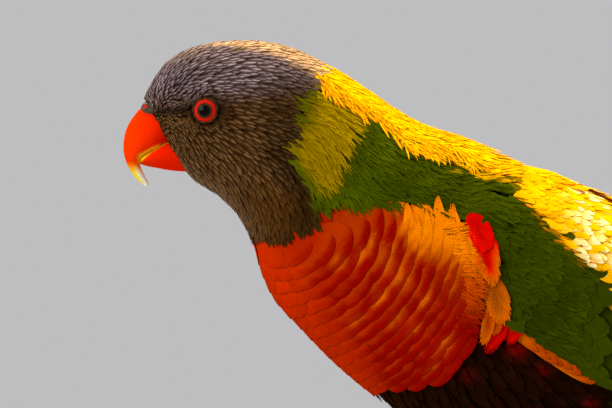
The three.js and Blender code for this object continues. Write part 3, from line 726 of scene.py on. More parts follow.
def scatter(bed, spacing, density=7, stretch_of=None):
    """Places spread evenly over a bed, each clear of the others by its spacing.

    spacing is a grid of the bed's size, with 0 where nothing grows. stretch_of gives how many
    times farther apart they stand along the coat's lie than across it.
    """
    rows, columns = bed.grid.shape[:2]
    area = np.linalg.norm(np.cross(bed.by_u, bed.by_v), axis=-1) / (rows * columns)
    weight = np.where(spacing > 0, area / np.maximum(spacing, 0.1) ** 2, 0)
    total = int(weight.sum() * density)
    cell = rng.choice(weight.size, total, p=(weight / weight.sum()).ravel())
    u = np.clip((cell // columns + rng.uniform(-0.5, 0.5, total)) / (rows - 1), 0, 1)
    v = (cell % columns + rng.uniform(-0.5, 0.5, total)) / (columns if bed.closed else columns - 1)
    places = np.stack([u, v], -1)
    points = bed.at(places)
    need = bed.sample(spacing, u, v)
    ways = lie(points, bed.out(places))
    farther = np.ones(total) if stretch_of is None else stretch_of(points)
    shrink = 1 / farther**2 - 1
    box = float((need * np.maximum(farther, 1)).max())
    around = [(a, b, c) for a in (-1, 0, 1) for b in (-1, 0, 1) for c in (-1, 0, 1)]
    kept, boxes = [], {}

    def is_clear(i, key):
        x, y, z = points[i]
        wx, wy, wz = ways[i]
        reach = need[i] ** 2
        for da, db, dc in around:
            for qx, qy, qz in boxes.get((key[0] + da, key[1] + db, key[2] + dc), ()):
                dx, dy, dz = qx - x, qy - y, qz - z
                along = dx * wx + dy * wy + dz * wz
                if dx**2 + dy**2 + dz**2 + shrink[i] * along**2 < reach:
                    return False
        return True

    for i in np.flatnonzero(need > 0):
        key = tuple(int(c // box) for c in points[i])
        if is_clear(i, key):
            boxes.setdefault(key, []).append(tuple(points[i]))
            kept.append(i)
    return places[kept]


BARE_RADIUS = 3.8  # from the eye's axis, where feathers begin
WING_EDGE_HEIGHT = 1.5  # a wing lower than this over the body leaves the coat there in view
# Where the back's coat lies over the wing: pixel rows above which it does, by column
MANTLE_FOOT = line([(440, 205), (545, 205), (575, 203), (612, 222), (700, 275)])
MANTLE_REAR = 690


def face_share(points):
    """From 0 at the bill and the eye to 1 where the hood's feathers are full size."""
    px, py = photo(points)
    from_bill = smoothstep(8, 120, np.hypot(px - FACE[0], py - FACE[1]))
    return np.minimum(from_bill, mix(0.1, 1.0, smoothstep(4.0, 11.0, eye_gap(points))))


def shown(points, normals):
    """Where the visible part of a feather lies whose root is at a point."""
    reach = mix(7.5, mix(1.3, 4.4, face_share(points)), markings(points).hood)
    return points + lie(points, normals) * reach[..., None]


def coat_size(seen):
    """Length, width and spacing of the feathers whose visible parts lie at points."""
    marks = markings(seen)
    rear = smoothstep(470, 575, marks.px)
    size = [mix(5.6, 10.0, rear), mix(0.85, 3.6, rear), mix(0.7, 2.1, rear)]
    size = [mix(a, b, marks.belly) for a, b in zip(size, (9.0, 3.0, 2.2))]
    size = [mix(a, b, marks.foot) for a, b in zip(size, (3.2, 1.1, 0.7))]
    face, low = face_share(seen), smoothstep(215, 240, marks.py)
    hood = (
        mix(1.7, 5.4, face) * mix(1, 0.7, low),
        mix(0.75, 1.55, face),
        mix(0.5, 0.86, face) * mix(1, 0.8, low),
    )
    return [mix(a, b, marks.hood) for a, b in zip(size, hood)]


def hood_stretch(points):
    """How much farther apart the feathers stand along the lie than across it."""
    return mix(1.0, 1.75, markings(points).hood)


def over_wing(px, py, rise=0):
    """Whether the back's coat lies over the wing at a pixel."""
    return (py < MANTLE_FOOT(px) - rise) & (px < MANTLE_REAR)


def coat_spacing():
    """Spacing of the body's feathers, with 0 under the wings, round the eyes and on the breast."""
    seen = shown(body.grid, body.normal)
    marks = markings(seen)
    breast = (marks.breast > 0.5) & (marks.hood < 0.5)
    under = (body.under_wing > 1.2) & ~over_wing(*photo(body.grid), 4)
    hidden = under | (eye_gap(body.grid) < BARE_RADIUS)
    return np.where(breast | hidden, 0, coat_size(seen)[2])


# Materials


class Shader:
    """A material built from nodes round one Principled shader."""

    def __init__(self, name, settings):
        self.material = bpy.data.materials.new(name)
        self.material.use_nodes = True
        self.tree = self.material.node_tree
        self.surface = self.tree.nodes["Principled BSDF"]
        for socket, value in settings.items():
            self.surface.inputs[socket].default_value = value

    def node(self, kind, inputs=(), **settings):
        """A node, its inputs set or linked."""
        node = self.tree.nodes.new("ShaderNode" + kind)
        for key, value in settings.items():
            setattr(node, key, value)
        for socket, value in dict(inputs).items():
            if isinstance(value, bpy.types.NodeSocket):
                self.tree.links.new(value, node.inputs[socket])
            else:
                node.inputs[socket].default_value = value
        return node

    def math(self, operation, *values):
        """The result of a sum on values."""
        return self.node("Math", dict(enumerate(values)), operation=operation).outputs[0]

    def scale(self, colour, low, high, factor):
        """The colour times a value between low and high."""
        value = self.node("MapRange", {"Value": factor, "To Min": low, "To Max": high}).outputs[0]
        return self.node("VectorMath", {0: colour, 1: value}, operation="MULTIPLY").outputs[0]

    def tint(self):
        """The mesh's own colours."""
        return self.node("Attribute", attribute_name="Tint").outputs["Color"]

    def noise(self, scale, detail=3.0, vector=None, output="Fac"):
        """Cloudy values at a place, which is the object's own unless given."""
        inputs = {"Scale": scale, "Detail": detail}
        inputs["Vector"] = vector or self.node("TexCoord").outputs["Object"]
        return self.node("TexNoise", inputs).outputs[output]

    def finish(self, colour, height=None, distance=0.0, strength=1.0):
        """The material with its colour, and with bumps where a height is given."""
        self.tree.links.new(colour, self.surface.inputs["Base Color"])
        if height is not None:
            bump = self.node("Bump", {"Height": height, "Distance": distance, "Strength": strength})
            self.tree.links.new(bump.outputs[0], self.surface.inputs["Normal"])
        return self.material


def feather_material(name, barbs, contrast, sheen, glow=(1.0, 0.5, 0.0, 1.0), relief=0.00004):
    """Coloured vanes with barbs that slant away from the shaft. barbs are per millimetre."""
    shader = Shader(name, {
        "Roughness": 0.65,
        "Sheen Weight": sheen,
        "Sheen Roughness": 0.35,
        "Sheen Tint": glow,
        "Specular IOR Level": 0.0,
    })
    place = shader.node("UVMap", uv_map="Vane").outputs[0]
    parts = shader.node("SeparateXYZ", {0: place})
    out = shader.math("ABSOLUTE", parts.outputs[0])
    slant = shader.math("SUBTRACT", parts.outputs[1], shader.math("MULTIPLY", out, 1.1))
    uneven = shader.noise(0.9, vector=place)
    phase = shader.math("ADD", slant, shader.math("MULTIPLY", uneven, 0.8))
    wave = shader.math("SINE", shader.math("MULTIPLY", phase, barbs * 2 * math.pi))
    share = shader.math("MULTIPLY_ADD", wave, 0.5, 0.5)
    colour = shader.scale(shader.tint(), 1 - contrast, 1 + contrast, share)
    colour = shader.scale(colour, 0.86, 1.12, shader.noise(500.0))
    return shader.finish(colour, share, relief)


def skin_material():
    """Grainy skin under the coat."""
    shader = Shader("skin", {"Roughness": 0.8, "Specular IOR Level": 0.2})
    grain = shader.noise(1500.0)
    return shader.finish(shader.scale(shader.tint(), 0.7, 1.1, grain), grain, 0.0001)


def horn_material(name, roughness, coat, subsurface=0.0, gloss=0.1):
    """Horn with faint streaks."""
    shader = Shader(name, {
        "Roughness": roughness,
        "Coat Weight": coat,
        "Coat Roughness": 0.25,
        "Specular IOR Level": gloss,
        "Subsurface Weight": subsurface,
        "Subsurface Radius": (1.0, 0.35, 0.1),
        "Subsurface Scale": 0.004,
    })
    stretched = shader.node("Mapping", {
        "Vector": shader.node("TexCoord").outputs["Object"],
        "Scale": (1.0, 1.0, 0.35),
    }).outputs[0]
    streaks = shader.noise(700.0, 4.0, stretched)
    return shader.finish(shader.scale(shader.tint(), 0.9, 1.06, streaks), streaks, 0.00003)


def bare_skin_material(name, roughness=0.55):
    """Skin with fine round bumps."""
    shader = Shader(name, {"Roughness": roughness, "Specular IOR Level": 0.1})
    bumps = shader.node("TexVoronoi", {
        "Vector": shader.node("TexCoord").outputs["Object"],
        "Scale": 1400.0,
    }).outputs["Distance"]
    return shader.finish(shader.scale(shader.tint(), 1.1, 0.7, bumps), bumps, -0.0001)


def eye_material():
    """The wet ball of the eye."""
    shader = Shader("eye_wet", {
        "Roughness": 0.3,
        "Specular IOR Level": 0.0,
        "Coat Weight": 0.15,
        "Coat Roughness": 0.04,
    })
    rays = shader.noise(2500.0)
    return shader.finish(shader.scale(shader.tint(), 0.85, 1.1, rays))


HOOD_COAT = feather_material("hood_feathers", 2.4, 0.12, 0.4, glow=(1.0, 0.72, 0.45, 1.0))
SOFT_COAT = feather_material("soft_feathers", 2.2, 0.25, 0.05)
BREAST_COAT = feather_material("breast_feathers", 1.4, 0.22, 0.03)
WING_COAT = feather_material("wing_vanes", 1.3, 0.14, 0.03)
SKIN = skin_material()
BILL_HORN = horn_material("bill_horn", 0.5, 0.0, 0.3, gloss=0.0)
CLAW_HORN = horn_material("claw_horn", 0.3, 0.5)
BARE_SKIN = bare_skin_material("bare_skin")
FOOT_SKIN = bare_skin_material("foot_skin", 0.6)
EYE_WET = eye_material()

# Skin under the body's coat


def grid_faces(rows, columns, closed=False):
    """Triangles of a grid that is closed round its columns, and round its rows too if asked."""
    i, j = np.mgrid[: rows if closed else rows - 1, :columns]
    k, n = (j + 1) % columns, (i + 1) % rows
    a, b, d, e = i * columns + j, i * columns + k, n * columns + j, n * columns + k
    return np.stack([a, d, e, a, e, b], -1).reshape(-1, 3)


def tube_points(grid):
    """Points of a grid that is closed round its columns, with a middle point at both ends."""
    return np.vstack([grid.reshape(-1, 3), grid[0].mean(0), grid[-1].mean(0)])


def outward(vertices, faces):
    """The faces, turned so that a closed shape's volume is positive."""
    a, b, c = (vertices[faces[:, k]] for k in range(3))
    volume = np.einsum("ij,ij->i", a, np.cross(b, c)).sum()
    return faces if volume > 0 else faces[:, ::-1]


def make_tube(name, grid, material, colours, slot, *nodes):
    """A piece from a grid that is closed round its columns, and colours for its points."""
    rows, columns = grid.shape[:2]
    vertices = tube_points(grid)
    j = np.arange(columns)
    k, last = (j + 1) % columns, (rows - 1) * columns
    first_point = np.full(columns, rows * columns)
    caps = np.stack([first_point, j, k, first_point + 1, last + k, last + j], -1).reshape(-1, 3)
    faces = np.vstack([grid_faces(rows, columns), caps])
    piece = make_object(name, vertices, outward(vertices, faces), material)
    set_tint(piece, colours)
    u, v = np.meshgrid(np.linspace(0, 1, rows), j / columns, indexing="ij")
    places = np.vstack([np.stack([u, v], -1).reshape(-1, 2), [[0, 0.5], [1, 0.5]]])
    set_uv(piece, "OFBake", 0.01 + 0.98 * places)
    ride(piece, slot, *nodes)


def make_skin():
    """One skin for head, neck and torso, below the coat."""
    grid = body.grid - body.normal * body.depth[..., None]
    vertices = tube_points(grid)
    marks = markings(vertices)
    # Painted shade: the skin that shows between the feathers is the coat's colour darkened, less so under the
    # gold.
    tint = marks.colour * mix(0.55, 0.85, marks.gold)[:, None]
    bare = smoothstep(BARE_RADIUS + 0.6, BARE_RADIUS, eye_gap(vertices))
    make_tube("body_skin", grid, SKIN, paint(tint, Shade.bare, bare), "breast", "head", "neck", "torso")


make_skin()

# The body's coat


def round_eye(points, ways):
    """Bends ways so that feathers part before the eye and close behind it."""
    for eye in EYES.values():
        axis = eye_frame(eye)[0]
        gap = points - eye
        gap = gap - (gap @ axis)[..., None] * axis
        distance = np.linalg.norm(gap, axis=-1, keepdims=True)
        out = gap / distance
        towards = np.minimum((ways * out).sum(-1, keepdims=True), 0)
        near = smoothstep(8.0, 4.4, distance) * ((points - eye) @ axis > -3)[..., None]
        ways = ways - out * towards * near
    return unit(ways)


def lay(bed, root, length, swing=0.1, ways=None):
    """Tips of feathers that lie along the coat from their roots."""
    points, normals = bed.at(root), bed.out(root)
    if ways is None:
        ways = round_eye(points, lie(points, normals))
    turn = rng.normal(0, swing, len(root))[:, None]
    ways = unit(ways + np.cross(normals, ways) * turn)
    tip = root
    for _ in range(4):
        tip = bed.move(tip, ways * (length / 4)[:, None])
        tip[:, 0] = np.clip(tip[:, 0], 0, 1)
        ways = tangent(ways, bed.out(tip))
    return tip


def clear_of_eye(bed, root, tip):
    """Shortens feathers whose tips would reach the bare ring."""
    for _ in range(6):
        over = eye_gap(bed.at(tip)) < BARE_RADIUS - 0.3
        tip = np.where(over[:, None], mix(root, tip, 0.75), tip)
    return tip


def colour_vanes(plumes, base, *, shaft=(1, 0), edge=(1, 0), tip=(1, 0), tip_from=0.6, root_shade=0.6):
    """Colours over each vane: a base with a root darkened as painted shade, and another shaft, edge and tip.

    Each of these is a colour, or a factor of the base's colour, and its share.
    """
    s = plumes.s[None, :, None, None]
    c = np.abs(plumes.c)[None, None, :, None]
    colour = base[:, None, None, :] * np.ones((plumes.count, plumes.rows, plumes.columns, 1))
    colour = colour * mix(root_shade, 1.0, smoothstep(0.0, 0.55, s))
    for (other, share), where in (
        (shaft, smoothstep(0.5, 0.0, c) * smoothstep(0.1, 0.5, s)),
        (edge, smoothstep(0.45, 1.0, c)),
        (tip, smoothstep(tip_from, 1.0, s)),
    ):
        other = base * other if np.isscalar(other) else np.broadcast_to(other, base.shape)
        colour = mix(colour, other[:, None, None], share * where)
    return colour


def vary(colour, spread, count=None):
    """A colour for each feather, lighter or darker by chance."""
    return colour * rng.uniform(1 - spread, 1 + spread, (count or len(colour), 1))


def halves(bed, root):
    """Which roots are on the left and on the right side."""
    left = bed.at(root)[:, 1] < 0
    return {"left": left, "right": ~left}


def body_at(px, py, sign):
    """Places on the body's bed that show at pixels, seen from one side (-1 is the left)."""
    target = np.stack([(px - PX_ORIGIN) * PX_MM, (PX_ORIGIN - py) * PX_MM], -1)
    flat = body.grid[..., None, [0, 2]] - target
    away = (flat**2).sum(-1) + 1e6 * (body.normal[..., 1] * sign < 0)[..., None]
    rows, columns = body.grid.shape[:2]
    cell = away.reshape(-1, len(target)).argmin(0)
    place = np.stack([cell // columns / (rows - 1), cell % columns / columns], 1)
    for _ in range(4):
        gap = target - body.at(place)[:, [0, 2]]
        a, b = (body.sample(by, *place.T)[:, [0, 2]] for by in (body.by_u, body.by_v))
        det = a[:, 0] * b[:, 1] - a[:, 1] * b[:, 0]
        du = (gap[:, 0] * b[:, 1] - gap[:, 1] * b[:, 0]) / det
        dv = (a[:, 0] * gap[:, 1] - a[:, 1] * gap[:, 0]) / det
        place = place + np.clip(np.stack([du, dv], 1), -0.01, 0.01)
    return place


# The breast's feathers end in rings round a point on the throat
RING_MIDDLE = np.array([278.0, 214.0])
RING_FIRST, RING_LAST = 7.0, 64.0  # radii in millimetres
RING_STEP = line([(8, 3.4), (30, 3.2), (48, 2.5), (62, 2.4)])
RING_REAR = line([(215, 458), (232, 466), (250, 472), (264, 479), (288, 482), (307, 482), (326, 478),
                  (345, 474), (362, 468), (378, 454), (386, 440), (392, 396), (398, 380)])
BREAST_GAP = 5.4  # between neighbours in a ring
RING_JUMP = 3.5  # where a ring leaves the breast and comes back, no feather stands between


def from_middle(px, py):
    """Pixels from the rings' middle."""
    return np.hypot(px - RING_MIDDLE[0], py - RING_MIDDLE[1])


def ring_tips():
    """Tips of the breast's feathers, ring by ring, each ring half a gap on from the last."""
    marks = markings(body.grid)
    inside = (marks.breast > 0.3) & (marks.hood < 0.35) & (body.under_wing < 1.6)
    inside &= marks.px < RING_REAR(marks.py)
    ring = from_middle(marks.px, marks.py) * PX_MM
    rows, columns = ring.shape
    tips, radius, turn = [], RING_FIRST, 0
    while radius < RING_LAST:
        cross = (ring[:-1] < radius) & (ring[1:] >= radius) & inside[:-1]
        at = np.flatnonzero(cross.any(0))
        if len(at) > 2:
            i = rows - 2 - cross[::-1].argmax(0)[at]
            share = (radius - ring[i, at]) / (ring[i + 1, at] - ring[i, at])
            places = np.stack([(i + share) / (rows - 1), at / columns], 1)
            step = np.linalg.norm(np.diff(body.at(places), axis=0), axis=1)
            length = np.concatenate([[0], np.cumsum(step)])
            where = np.arange(BREAST_GAP * (0.25 + 0.5 * (turn % 2)), length[-1], BREAST_GAP)
            where = where + rng.normal(0, 0.35, len(where))
            before = np.clip(np.searchsorted(length, where) - 1, 0, len(step) - 1)
            where = where[step[before] <= RING_JUMP]
            tips.append(np.stack([np.interp(where, length, column) for column in places.T], 1))
        radius += RING_STEP(radius)
        turn += 1
    return np.vstack(tips)


def ring_ways(places):
    """Ways out from the rings' middle."""
    points = body.at(places)
    px, py = photo(points)
    ways = unit(np.stack([px - RING_MIDDLE[0], 0 * px, RING_MIDDLE[1] - py], -1))
    return tangent(ways, body.out(places))


roots = scatter(body, coat_spacing(), stretch_of=hood_stretch)
root_seen = shown(body.at(roots), body.out(roots))
root_marks = markings(root_seen)
is_hood = root_marks.hood > 0.5
is_low = (root_marks.py > 335) & (root_marks.px < 600)
is_dark = ((root_marks.belly > 0.5) | is_low) & ~is_hood
is_large = (root_marks.px > 505) & ~is_hood & ~is_dark
is_soft = ~(is_hood | is_dark | is_large)


def on_orange(px, py):
    """Whether a pixel lies where the breast's orange patch hides the coat behind it."""
    foot = mix(268, 330, smoothstep(470, 480, px))
    return (px > 398) & (px < 506) & (py > BREAST_TOP(px) + 2) & (py < foot)


def coat_group(chosen, *, swing, lift=0.05, uneven=0.2, stand=0.0, sink=0.7, **shape):
    """Feathers of one kind, and where the visible part of each lies."""
    root = roots[chosen]
    length, width, _ = coat_size(root_seen[chosen])
    length = length * rng.uniform(0.88, 1.15, len(root))
    width = width * rng.uniform(0.88, 1.12, len(root))
    tip = clear_of_eye(body, root, lay(body, root, length, swing))
    px, py = photo(body.at(mix(root, tip, 0.85)))
    bare = body.sample(body.under_wing, *mix(root, tip, 0.55).T) < WING_EDGE_HEIGHT
    shows = ~on_orange(px, py) & (over_wing(px, py) | bare)
    root, tip, width = root[shows], tip[shows], width[shows]
    high = lift + rng.uniform(-uneven, uneven * 0.5, len(root)) + stand * rng.random(len(root))
    low = -sink * body.sample(body.depth, *root.T)
    return Plumes(body, root, tip, width, low, high, **shape), body.at(mix(root, tip, 0.85))


def eye_shade(px, py):
    """1 in the dark almond round the eye."""
    return smoothstep(1.25, 0.7, np.hypot((px - 212) / 27, (py - 112) / 17))


def hood_feathers(chosen):
    """Narrow dark feathers with pale shafts, and painted sunlight on the crown's edge."""
    plumes, points = coat_group(chosen, swing=0.07, uneven=0.12, rows=6, columns=5, camber=0.05,
                                thickness=0.07, shape=outline(0.45, 0.5, 1.7), lift_power=0.8, pinch=1.9)
    marks = markings(points)
    px, py, crown = marks.px, marks.py, marks.crown
    to_rear = HOOD_REAR(py) - px
    rear = smoothstep(40, 5, to_rear) * smoothstep(100, 140, py)
    # Painted shade: behind darkens the rear of the crown, where the sun lamp lights the head's side.
    behind = smoothstep(75, 25, to_rear) * window(py, 62, 76, 110, 140)
    base = vary(marks.colour * (mix(0.92, 0.4, rear) * mix(1.0, 0.75, behind))[:, None], 0.15)
    pale = paint(paint(Shade.tan, Shade.lilac, crown), Shade.throat * 1.7, marks.throat)
    pale = pale * (mix(1.0, 0.4, rear) * mix(1.0, 0.4, behind) * (1 - 0.75 * eye_shade(px, py)))[:, None]
    ahead_of_eye = window(px, 154, 162, 188, 200)
    stripe = hill(py, 111, 5.0) * ahead_of_eye
    pale = paint(pale, Shade.lore, 0.9 * stripe)
    base = paint(base, Shade.lore, 0.7 * stripe)
    base = paint(base, Shade.throat, 0.8 * hill(py, 121, 5.0) * ahead_of_eye)
    # Painted sunlight: a peach and tan band along the crown's top edge, wider to the rear.
    below = (py - BACK_LINE(px)) / mix(6, 24, smoothstep(210, 320, px))
    sunny = smoothstep(1.0, 0.3, below) * smoothstep(185, 230, px)
    pale = paint(pale, Shade.peach * 1.2, 0.85 * sunny)
    base = paint(base, Shade.tan * 1.5, 0.8 * sunny)
    grizzle = smoothstep(185, 155, px) * crown
    pale = vary(pale * (0.85 + 0.5 * grizzle + 0.2 * crown)[:, None], 0.45)
    s, c = plumes.s[None, :, None, None], np.abs(plumes.c)[None, None, :, None]
    streak = smoothstep(0.38, 0.0, c) * window(s, 0.35, 0.6, 0.9, 1.02)
    return plumes, mix(colour_vanes(plumes, base, root_shade=0.5), pale[:, None, None], 0.9 * streak)


def soft_feathers(chosen):
    """Loose narrow feathers of the neck and the mantle."""
    plumes, points = coat_group(chosen, swing=0.16, rows=5, columns=3, camber=0.1, thickness=0.07,
                                shape=outline(0.35, 0.5, 1.4), stand=0.12, sink=0.3, lift_power=0.8)
    base = vary(markings(points).plain, 0.14)
    return plumes, colour_vanes(plumes, base, tip=(1.3, 0.5), shaft=(1.4, 0.3), root_shade=0.75)


def large_feathers(chosen):
    """Broad feathers of the back, painted lighter and yellower where the wing shades them."""
    plumes, points = coat_group(chosen, swing=0.1, rows=8, columns=5, camber=0.15, thickness=0.1,
                                shape=outline(0.55, 0.6, 1.8), fringe=0.1)
    marks = markings(points)
    # Painted light: lemon lifts the gold feathers that lie in the wing's shade.
    painted_lift = marks.gold * smoothstep(4, 8, np.abs(points[:, 1])) * smoothstep(560, 585, marks.px)
    base = vary(paint(marks.plain, Shade.lemon, painted_lift), 0.12)
    return plumes, colour_vanes(plumes, base, edge=(1.2, 0.4), tip=(1.2, 0.4), shaft=(0.85, 0.5))


def front_share(px, py):
    """1 along the breast's front edge, 0 on its side."""
    return smoothstep(50, 8, px - 250 - 0.75 * (py - 250))


def orange_share(px, py):
    """1 in the orange patch at the wing's root, less round it."""
    return smoothstep(268, 232, py - 0.25 * (px - 430)) * window(px, 395, 418, 470, 492)


# Orange spots among the red: pixel, and half axes in pixels along the ring and away from its middle
AMBER_SPOTS = np.array([
    (372, 242, 9, 4), (387, 257, 13, 5), (401, 274, 17, 8), (379, 297, 10, 6), (397, 319, 10, 6),
    (412, 329, 9, 5), (405, 222, 17, 5), (443, 344, 12, 6), (338, 262, 9, 6), (359, 255, 9, 5),
    (424, 300, 9, 5), (448, 282, 14, 7), (356, 318, 8, 5), (430, 366, 9, 4),
], float)


def amber_share(px, py):
    """1 in the orange spots of the breast's side."""
    middle = AMBER_SPOTS[:, :2] - RING_MIDDLE
    away = middle / np.linalg.norm(middle, axis=1, keepdims=True)
    gap = np.stack([px, py], -1)[..., None, :] - AMBER_SPOTS[:, :2]
    across = (gap * away).sum(-1) / AMBER_SPOTS[:, 3]
    along = (gap[..., 1] * away[:, 0] - gap[..., 0] * away[:, 1]) / AMBER_SPOTS[:, 2]
    return smoothstep(1.7, 0.2, np.hypot(across, along)).max(-1)


def breast_rings():
    """Broad feathers in rings, and whether each is on the left side."""
    tip = ring_tips()
    ways = ring_ways(tip)
    count = len(tip)
    side = np.cross(body.out(tip), ways)
    tip = body.move(tip, ways * rng.normal(0, 0.1, (count, 1)) + side * rng.normal(0, 0.3, (count, 1)))
    root = lay(body, tip, rng.uniform(9.5, 11.5, count), 0.07, -ways)
    width = rng.uniform(9.4, 11.4, count)
    behind = markings(body.at(tip) - ways * 4.5)
    first = 1 - behind.breast * (1 - behind.hood)
    high = mix(0.0, -0.5, first) + rng.uniform(-0.03, 0.02, count)
    low = mix(high - 0.5, -0.8 * body.sample(body.depth, *root.T), first)
    plumes = Plumes(body, root, tip, width, low, high, rows=20, columns=11, camber=0.04, thickness=0.05,
                    shape=outline(0.7, 0.6, 2.3), fringe=0.05, crowd=1.5)
    return plumes, body.at(tip)[:, 1] < 0


def breast_colour(plumes):
    """Red rings with orange between them, an orange patch and painted shadow along rims near the throat."""
    at = plumes.at
    px, py = photo(at)
    front, spots = front_share(px, py), amber_share(px, py)
    patch = orange_share(px + 5 * wobble(at, 2.4, 1.0), py + 5 * wobble(at, 1.6, 6.0))
    blotch = smoothstep(-0.2, 1.2, wobble(at, 9.0, 9.0))
    upper = smoothstep(330, 250, py) * smoothstep(335, 385, px)
    pale = paint(Shade.blood, Shade.ember, np.clip(0.12 + 0.3 * blotch + 0.45 * upper, 0, 1))
    pale = paint(pale, Shade.amber, 0.9 * spots)
    # Along the front edge the rings turn scarlet, brighter higher up: partly the breast's own colour, partly
    # painted light from the front.
    glow = mix(1.2, 1.0, smoothstep(270, 330, py))[..., None]
    pale = paint(paint(pale, Shade.scarlet * glow, front), Shade.orange, patch)
    pale = paint(pale, Shade.red, 0.7 * smoothstep(210, 225, from_middle(px, py)))
    near_wing = smoothstep(425, 465, px) * smoothstep(325, 265, py)
    deep = paint(Shade.red, Shade.scarlet, 0.8 * front)
    deep = paint(deep, Shade.ember, np.maximum(0.4 * near_wing, 0.2 * spots))
    deep = paint(deep, Shade.orange, patch * 0.95)
    tone = rng.uniform(0.9, 1.1, (plumes.count, 1, 1, 1))
    to_tip = (1 - plumes.s)[None, :, None] * plumes.length[:, None, None]
    band = smoothstep(3.3, 0.9, to_tip + 0.5 * wobble(at, 3.0) + 0.3 * wobble(at, 0.45))
    calm = mix(0.5, 1.0, smoothstep(300, 365, px + 0.6 * (py - 225)))
    colour = paint(pale, deep, band * mix(1.0, 0.7, front) * calm) * tone
    # Painted shadow: thin dark lines at the feathers' rims, in patches near the throat.
    shadow_patches = smoothstep(0.1, 0.7, wobble(at, 2.2, 3.0))
    rim_shadow = smoothstep(345, 290, px) * window(py, 232, 245, 320, 350) * shadow_patches
    return paint(colour, Shade.shade, 0.4 * rim_shadow * smoothstep(0.5, 0.15, plumes.inset()))


def breast_groups():
    """The breast's feathers and colours for each side."""
    plumes, left = breast_rings()
    colour = breast_colour(plumes)
    return {"left": pick(plumes, colour, left), "right": pick(plumes, colour, ~left)}


def pick(plumes, colour, chosen):
    """Some of the feathers and their colours."""
    part = copy.copy(plumes)
    part.count = int(chosen.sum())
    for name in ("vertices", "root", "length", "width", "reach", "at"):
        setattr(part, name, getattr(plumes, name)[chosen])
    return part, colour[chosen]


# Single feathers over the wing's front edge: pixel of the root, pixel of the tip, width in
# millimetres, shade of the base and shade of the rim
EDGE_FEATHERS = [
    ((517, 324), (505, 342), 3.0, Shade.bright_red, Shade.red),
    ((506, 316), (483, 352), 3.8, Shade.bright_red, Shade.red),
    ((496, 300), (492, 333), 3.6, Shade.ember, Shade.ember),
    ((489, 274), (501, 323), 6.0, Shade.rust, Shade.amber),
    ((493, 294), (481, 343), 3.4, Shade.ember, Shade.amber),
    ((477, 228), (491, 286), 5.6, Shade.bright_red, Shade.amber),
    ((467, 215), (485, 255), 5.4, Shade.bright_red, Shade.bright_red),
]
BARBS = 22  # on each side of such a feather


def beside(root, tip, share, across):
    """Places some share of the way from root to tip, and some millimetres aside."""
    place = mix(root, tip, share[:, None])
    step = tip - root
    course = body.sample(body.by_u, *place.T) * step[:, :1] + body.sample(body.by_v, *place.T) * step[:, 1:]
    side = unit(np.cross(body.out(place), course))
    return body.move(place, side * across[:, None])


def barbed(root, tip, width, level):
    """Feathers as fans of fine barbs, each barb's turn from the side to the tip, and its feather."""
    feathers = len(root)
    turn = np.tile(np.linspace(0, 1, BARBS), 2 * feathers)
    sign = np.tile(np.repeat([-1.0, 1.0], BARBS), feathers)
    each = np.repeat(np.arange(feathers), 2 * BARBS)
    root, tip, width, level = root[each], tip[each], width[each], level[each]
    angle = np.clip(turn + rng.normal(0, 0.012, len(turn)), 0, 1) * math.pi / 2
    end = 0.42 + 0.58 * np.sin(angle)
    aside = sign * outline(0.62, 0.3, 2.0)(end) * width / 2
    frayed = rng.uniform(0.92, 1.04, len(turn))
    start = beside(root, tip, np.maximum(end - 0.5, 0), 0.08 * aside)
    finish = beside(root, tip, end * frayed, aside * frayed)
    high = level - 0.9 * (1 - smoothstep(0.1, 0.7, end)) + rng.uniform(0, 0.05, len(turn))
    plumes = Plumes(body, start, finish, 0.16 * width + 0.25, high - 0.6, high, rows=6, columns=3,
                    camber=0.03, thickness=0.05, shape=outline(0.4, 0.6, 1.5))
    return plumes, turn, each


def edge_feathers(sign):
    """The rounded feathers where the breast meets the wing."""
    root, tip, width, bases, rims = (np.array(column, float) for column in zip(*EDGE_FEATHERS))
    level = np.linspace(0.1, 0.85, len(width))
    plumes, turn, each = barbed(body_at(*root.T, sign), body_at(*tip.T, sign), width, level)
    base, rim = vary(bases[each], 0.14), vary(rims[each], 0.14)
    s = plumes.s[None, :, None]
    outer = smoothstep(0.55, 0.9, s) * smoothstep(0, 0.4, turn)[:, None, None]
    colour = paint(base[:, None, None], rim[:, None, None], outer * np.ones((1, 1, plumes.columns)))
    return plumes, colour * mix(0.75, 1.0, smoothstep(0.3, 0.7, s))[..., None]


# Pixels where orange parts the green above the breast
ORANGE_POINTS = np.array([(406, 203), (424, 208), (436, 196), (451, 204)], float)
LOCKS = 11  # to each point


def orange_points(sign):
    """Thin orange locks that end in points above the breast's orange patch."""
    count = LOCKS * len(ORANGE_POINTS)
    px, py = (np.repeat(ORANGE_POINTS, LOCKS, 0) + rng.normal(0, 0.7, (count, 2))).T
    spread = np.tile(np.linspace(-5, 5, LOCKS), len(ORANGE_POINTS))
    fall = rng.uniform(20, 28, count)
    root = body_at(px + spread + 2, py + fall, sign)
    tip = body_at(px + 0.35 * spread, py + 0.09 * spread**2, sign)
    plumes = Plumes(body, root, tip, rng.uniform(0.7, 1.0, count), -0.1, rng.uniform(0.15, 0.35, count),
                    rows=8, columns=3, camber=0.03, thickness=0.05, shape=outline(0.3, 0.6, 1.2))
    return plumes, colour_vanes(plumes, vary(Shade.orange, 0.15, count), root_shade=1.0)


FRINGE_EDGE = line([(222, 462), (238, 468), (254, 474), (264, 480), (288, 484), (307, 483), (326, 477),
                    (338, 474)])
FRINGE = 520  # barbs on each side


